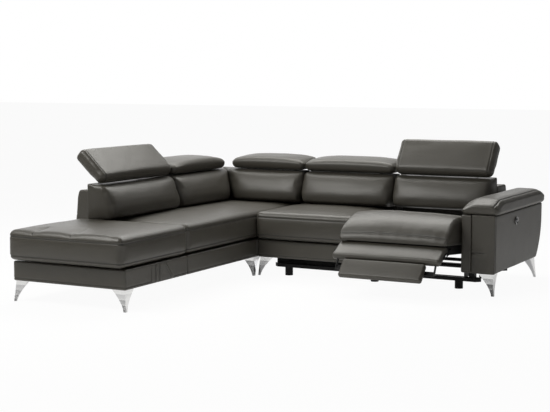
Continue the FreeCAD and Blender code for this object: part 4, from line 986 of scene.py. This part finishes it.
panelShape = {"size": (0.160, 0.0195, 0.387), "start": (1.6405, -0.0735, 0.1425), "round": 0.008,
              "edge": 0.01, "cell": 0.012, "seam": 0.136, "groove": (0.0038, 0.005), "puff": 0.0015,
              "drape": 0.0008, "pull": 0.0022, "pullAcross": 0.1, "pullUp": 0.110, "pullReach": 0.03}


def armPanel():
    shape, size = panelShape, panelShape["size"]
    edge, cell, thin = shape["edge"], shape["cell"], shape["round"]
    edges = ((edge, cell), (thin, thin), (edge, edge))
    raw, faces = block(size, edges, cell, ((), (), [shape["seam"]]))
    points = roundedBox(raw, size, thin)
    skin = normals(points, faces)
    face = ramp(-skin[:, 1], 0.3, 0.8)
    left = 1 - ramp(raw[:, 0], 0.085, 0.10)
    seam = (raw[:, 2] - shape["seam"], face * left)
    push, mark = grooves([seam], points, *shape["groove"])
    s = raw[:, 0] / size[0] * 2 - 1
    push += shape["puff"] * (1 - s ** 2) * face + shape["drape"] * softNoise(points, 12.0, 104) * face
    pull = np.exp(-((raw[:, 2] - shape["pullUp"]) / shape["pullReach"]) ** 2)
    pull = pull * np.exp(-((raw[:, 0] - shape["pullAcross"]) / shape["pullReach"]) ** 2)
    push -= shape["pull"] * pull * face
    points = points + skin * push[:, None] + np.array(shape["start"])
    upholster("armPanel", "right", points, faces, np.clip(mark, 0, 1), "frame", ("arm_front_panel",))


armPadShape = {"size": (0.2565, 1.068, 0.104), "start": (1.5685, -0.0785, 0.5305), "edge": 0.026,
               "cell": 0.014, "row": 0.012, "innerFall": 0.030, "outerFall": 0.016, "nose": 0.034,
               "noseRun": 0.16, "tail": 0.030, "tailRun": 0.14, "taper": 0.010, "seamIn": 0.03,
               "groove": (0.0038, 0.0024), "gather": (0.03, 0.0009, 0.04), "drape": 0.002}


def armPad():
    shape, size = armPadShape, armPadShape["size"]
    edge, cell = shape["edge"], shape["cell"]
    seam = size[0] - shape["seamIn"]
    raw, faces = block(size, edge, (cell, cell, shape["row"]), ([seam], (), ()))
    points = roundedBox(raw, size, edge)
    s, t = centred(points, size)
    up = ramp(points[:, 2], 0.02, size[2])
    fall = shape["innerFall"] * ramp(-s, 0.2, 1.0) ** 1.5 + shape["outerFall"] * ramp(s, 0.45, 1.0)
    nose = shape["nose"] * (1 - ramp(points[:, 1], 0.0, shape["noseRun"])) ** 1.6
    tail = shape["tail"] * ramp(points[:, 1], size[1] - shape["tailRun"], size[1]) ** 1.6
    points[:, 2] -= (fall + nose + tail) * up
    points[:, 0] -= shape["taper"] * ramp(np.abs(t), 0.9, 1.0) * ramp(s, 0.3, 1.0)
    skin = normals(points, faces)
    top = ramp(skin[:, 2], 0.1, 0.5)
    distance = raw[:, 0] - size[0] + shape["seamIn"]
    push, mark = grooves([(distance, top)], points, *shape["groove"])
    push += puckers(distance, raw[:, 1], *shape["gather"], 111) * top
    push += shape["drape"] * (softNoise(points, 6.0, 113) + 0.4 * softNoise(points, 15.0, 114)) * up
    points = points + skin * push[:, None] + np.array(shape["start"])
    upholster("armPad", "right", points, faces, np.clip(mark, 0, 1), "frame", ("arm_pad",))
    picked = near(raw[:, 0], seam - stitchOff) & near(raw[:, 2], size[2])
    sewRow("frame", "right", points + skin * stitch["proud"], raw, picked, 1)


armCore()
armPanel()
armPad()
print("arm made")


# Dust cover between the base and the chassis rails

dustShape = {"low": (0.112, 0.086, 0.0862), "high": (0.778, 0.700, 0.1328), "round": 0.006, "wave": 0.0016,
             "edges": ((0.01, 0.01), (0.01, 0.01), (0.008, 0.004)), "cells": (0.025, 0.03, 0.01)}


def dustBag():
    low = np.array(dustShape["low"])
    size = np.array(dustShape["high"]) - low
    raw, faces = block(size, dustShape["edges"], dustShape["cells"])
    points = roundedBox(raw, size, dustShape["round"])
    skin = normals(points, faces)
    points += skin * (dustShape["wave"] * softNoise(points, 9.0, 121) - dustShape["wave"])[:, None]
    made = makeObject("dustCoverBag", toFrame(points + low, "right"), faces, coverCloth)
    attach(made, "frame")


dustBag()


# Power control: a bright ring round the two keys, each with a raised chevron

controlSpot = np.array([1.802, 0.372, 0.456])
controlLook = {"ring": 0.0252, "wire": 0.0015, "proud": 0.0052, "turns": 64, "sides": 12,
               "keyOff": 0.0075, "keyFrom": 0.0065, "keyTo": 0.0077}
chevron = ((0.0045, 0.0), (-0.002, 0.007), (-0.0035, 0.0055), (0.0013, 0.0), (-0.0035, -0.0055),
           (-0.002, -0.007))


def controlRing():
    look = controlLook
    turns, sides = look["turns"], look["sides"]
    points, faces = [], []
    for i in range(turns):
        a = 2 * math.pi * i / turns
        after = (i + 1) % turns
        for j in range(sides):
            b = 2 * math.pi * j / sides
            r = look["ring"] + look["wire"] * math.cos(b)
            points.append((look["proud"] + look["wire"] * math.sin(b), r * math.cos(a), r * math.sin(a)))
            k = (j + 1) % sides
            faces.append((i * sides + j, after * sides + j, after * sides + k, i * sides + k))
    placed = toFrame(np.array(points) + controlSpot, "right")
    made = makeObject("controlRing", placed, faces, chrome, levels=0)
    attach(made, "frame")


def keyChevron(body, side):
    look = controlLook
    levels = (look["keyFrom"], look["keyTo"])
    points = [(x, side * (look["keyOff"] + u), v) for x in levels for u, v in chevron]
    count = len(chevron)
    faces = [tuple(range(count - 1, -1, -1)), tuple(range(count, 2 * count))]
    faces += [(k, (k + 1) % count, count + (k + 1) % count, count + k) for k in range(count)]
    placed = toFrame(np.array(points) + controlSpot, "right")
    made = makeObject("chevron_" + body, placed, faces, chrome, levels=0)
    made.data.polygons.foreach_set("use_smooth", [False] * len(made.data.polygons))
    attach(made, body)


controlRing()
keyChevron("button_open", -1)
keyChevron("button_close", 1)
print("dust cover and control made")


# Stitches, one mesh for each body

stitchSides = 6
stitchProfile = ((0.0, 0.35), (0.2, 1.0), (0.8, 1.0), (1.0, 0.35))  # share of the length, share of the radius


def stitchMesh(body, rows):
    turns = np.linspace(0, 2 * math.pi, stitchSides, endpoint=False)
    ring = [(math.cos(a), math.sin(a)) for a in turns]
    points, faces = [], []
    for spots, ends in rows:
        for a, b in zip(spots, ends):
            run = b - a
            long = np.linalg.norm(run)
            if long < 1e-5:
                continue
            run = run / long
            side = np.cross(run, [0.31, 0.17, 0.94])
            side /= max(np.linalg.norm(side), 1e-9)
            other = np.cross(run, side)
            first = len(points)
            for share, swell in stitchProfile:
                middle = a + run * long * share
                for c, d in ring:
                    points.append(middle + (side * c + other * d) * stitch["radius"] * swell)
            for level in range(len(stitchProfile) - 1):
                p = first + level * stitchSides
                for k in range(stitchSides):
                    after = (k + 1) % stitchSides
                    faces.append((p + k, p + after, p + stitchSides + after, p + stitchSides + k))
            last = len(points) - stitchSides
            faces.append(tuple(first + k for k in reversed(range(stitchSides))))
            faces.append(tuple(last + k for k in range(stitchSides)))
    mesh = bpy.data.meshes.new("stitches")
    mesh.from_pydata([tuple(p) for p in points], [], faces)
    mesh.materials.append(threadYarn)
    made = bpy.data.objects.new("stitches_" + body, mesh)
    bpy.context.scene.collection.objects.link(made)
    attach(made, body)


for stitchBody, stitchRow in stitchRows.items():
    stitchMesh(stitchBody, stitchRow)
print("stitches made")


# Carried-over parts get their own finishes

looks = {"chrome": chrome, "black_steel": blackSteel, "bracket_steel": zincSteel,
         "black_plastic": blackPlastic}
slotOf = {row["node"]: row["material_slot"] for row in frame["record"]["subparts"]}
for nodeName, node in frame["nodes"].items():
    if not node.hide_render:
        finish = looks.get(slotOf.get(nodeName), hideLeather)
        if nodeName == "control_bezel":
            finish = blackPlastic
        node.data.materials.clear()
        node.data.materials.append(finish)
print("carried-over parts dressed")
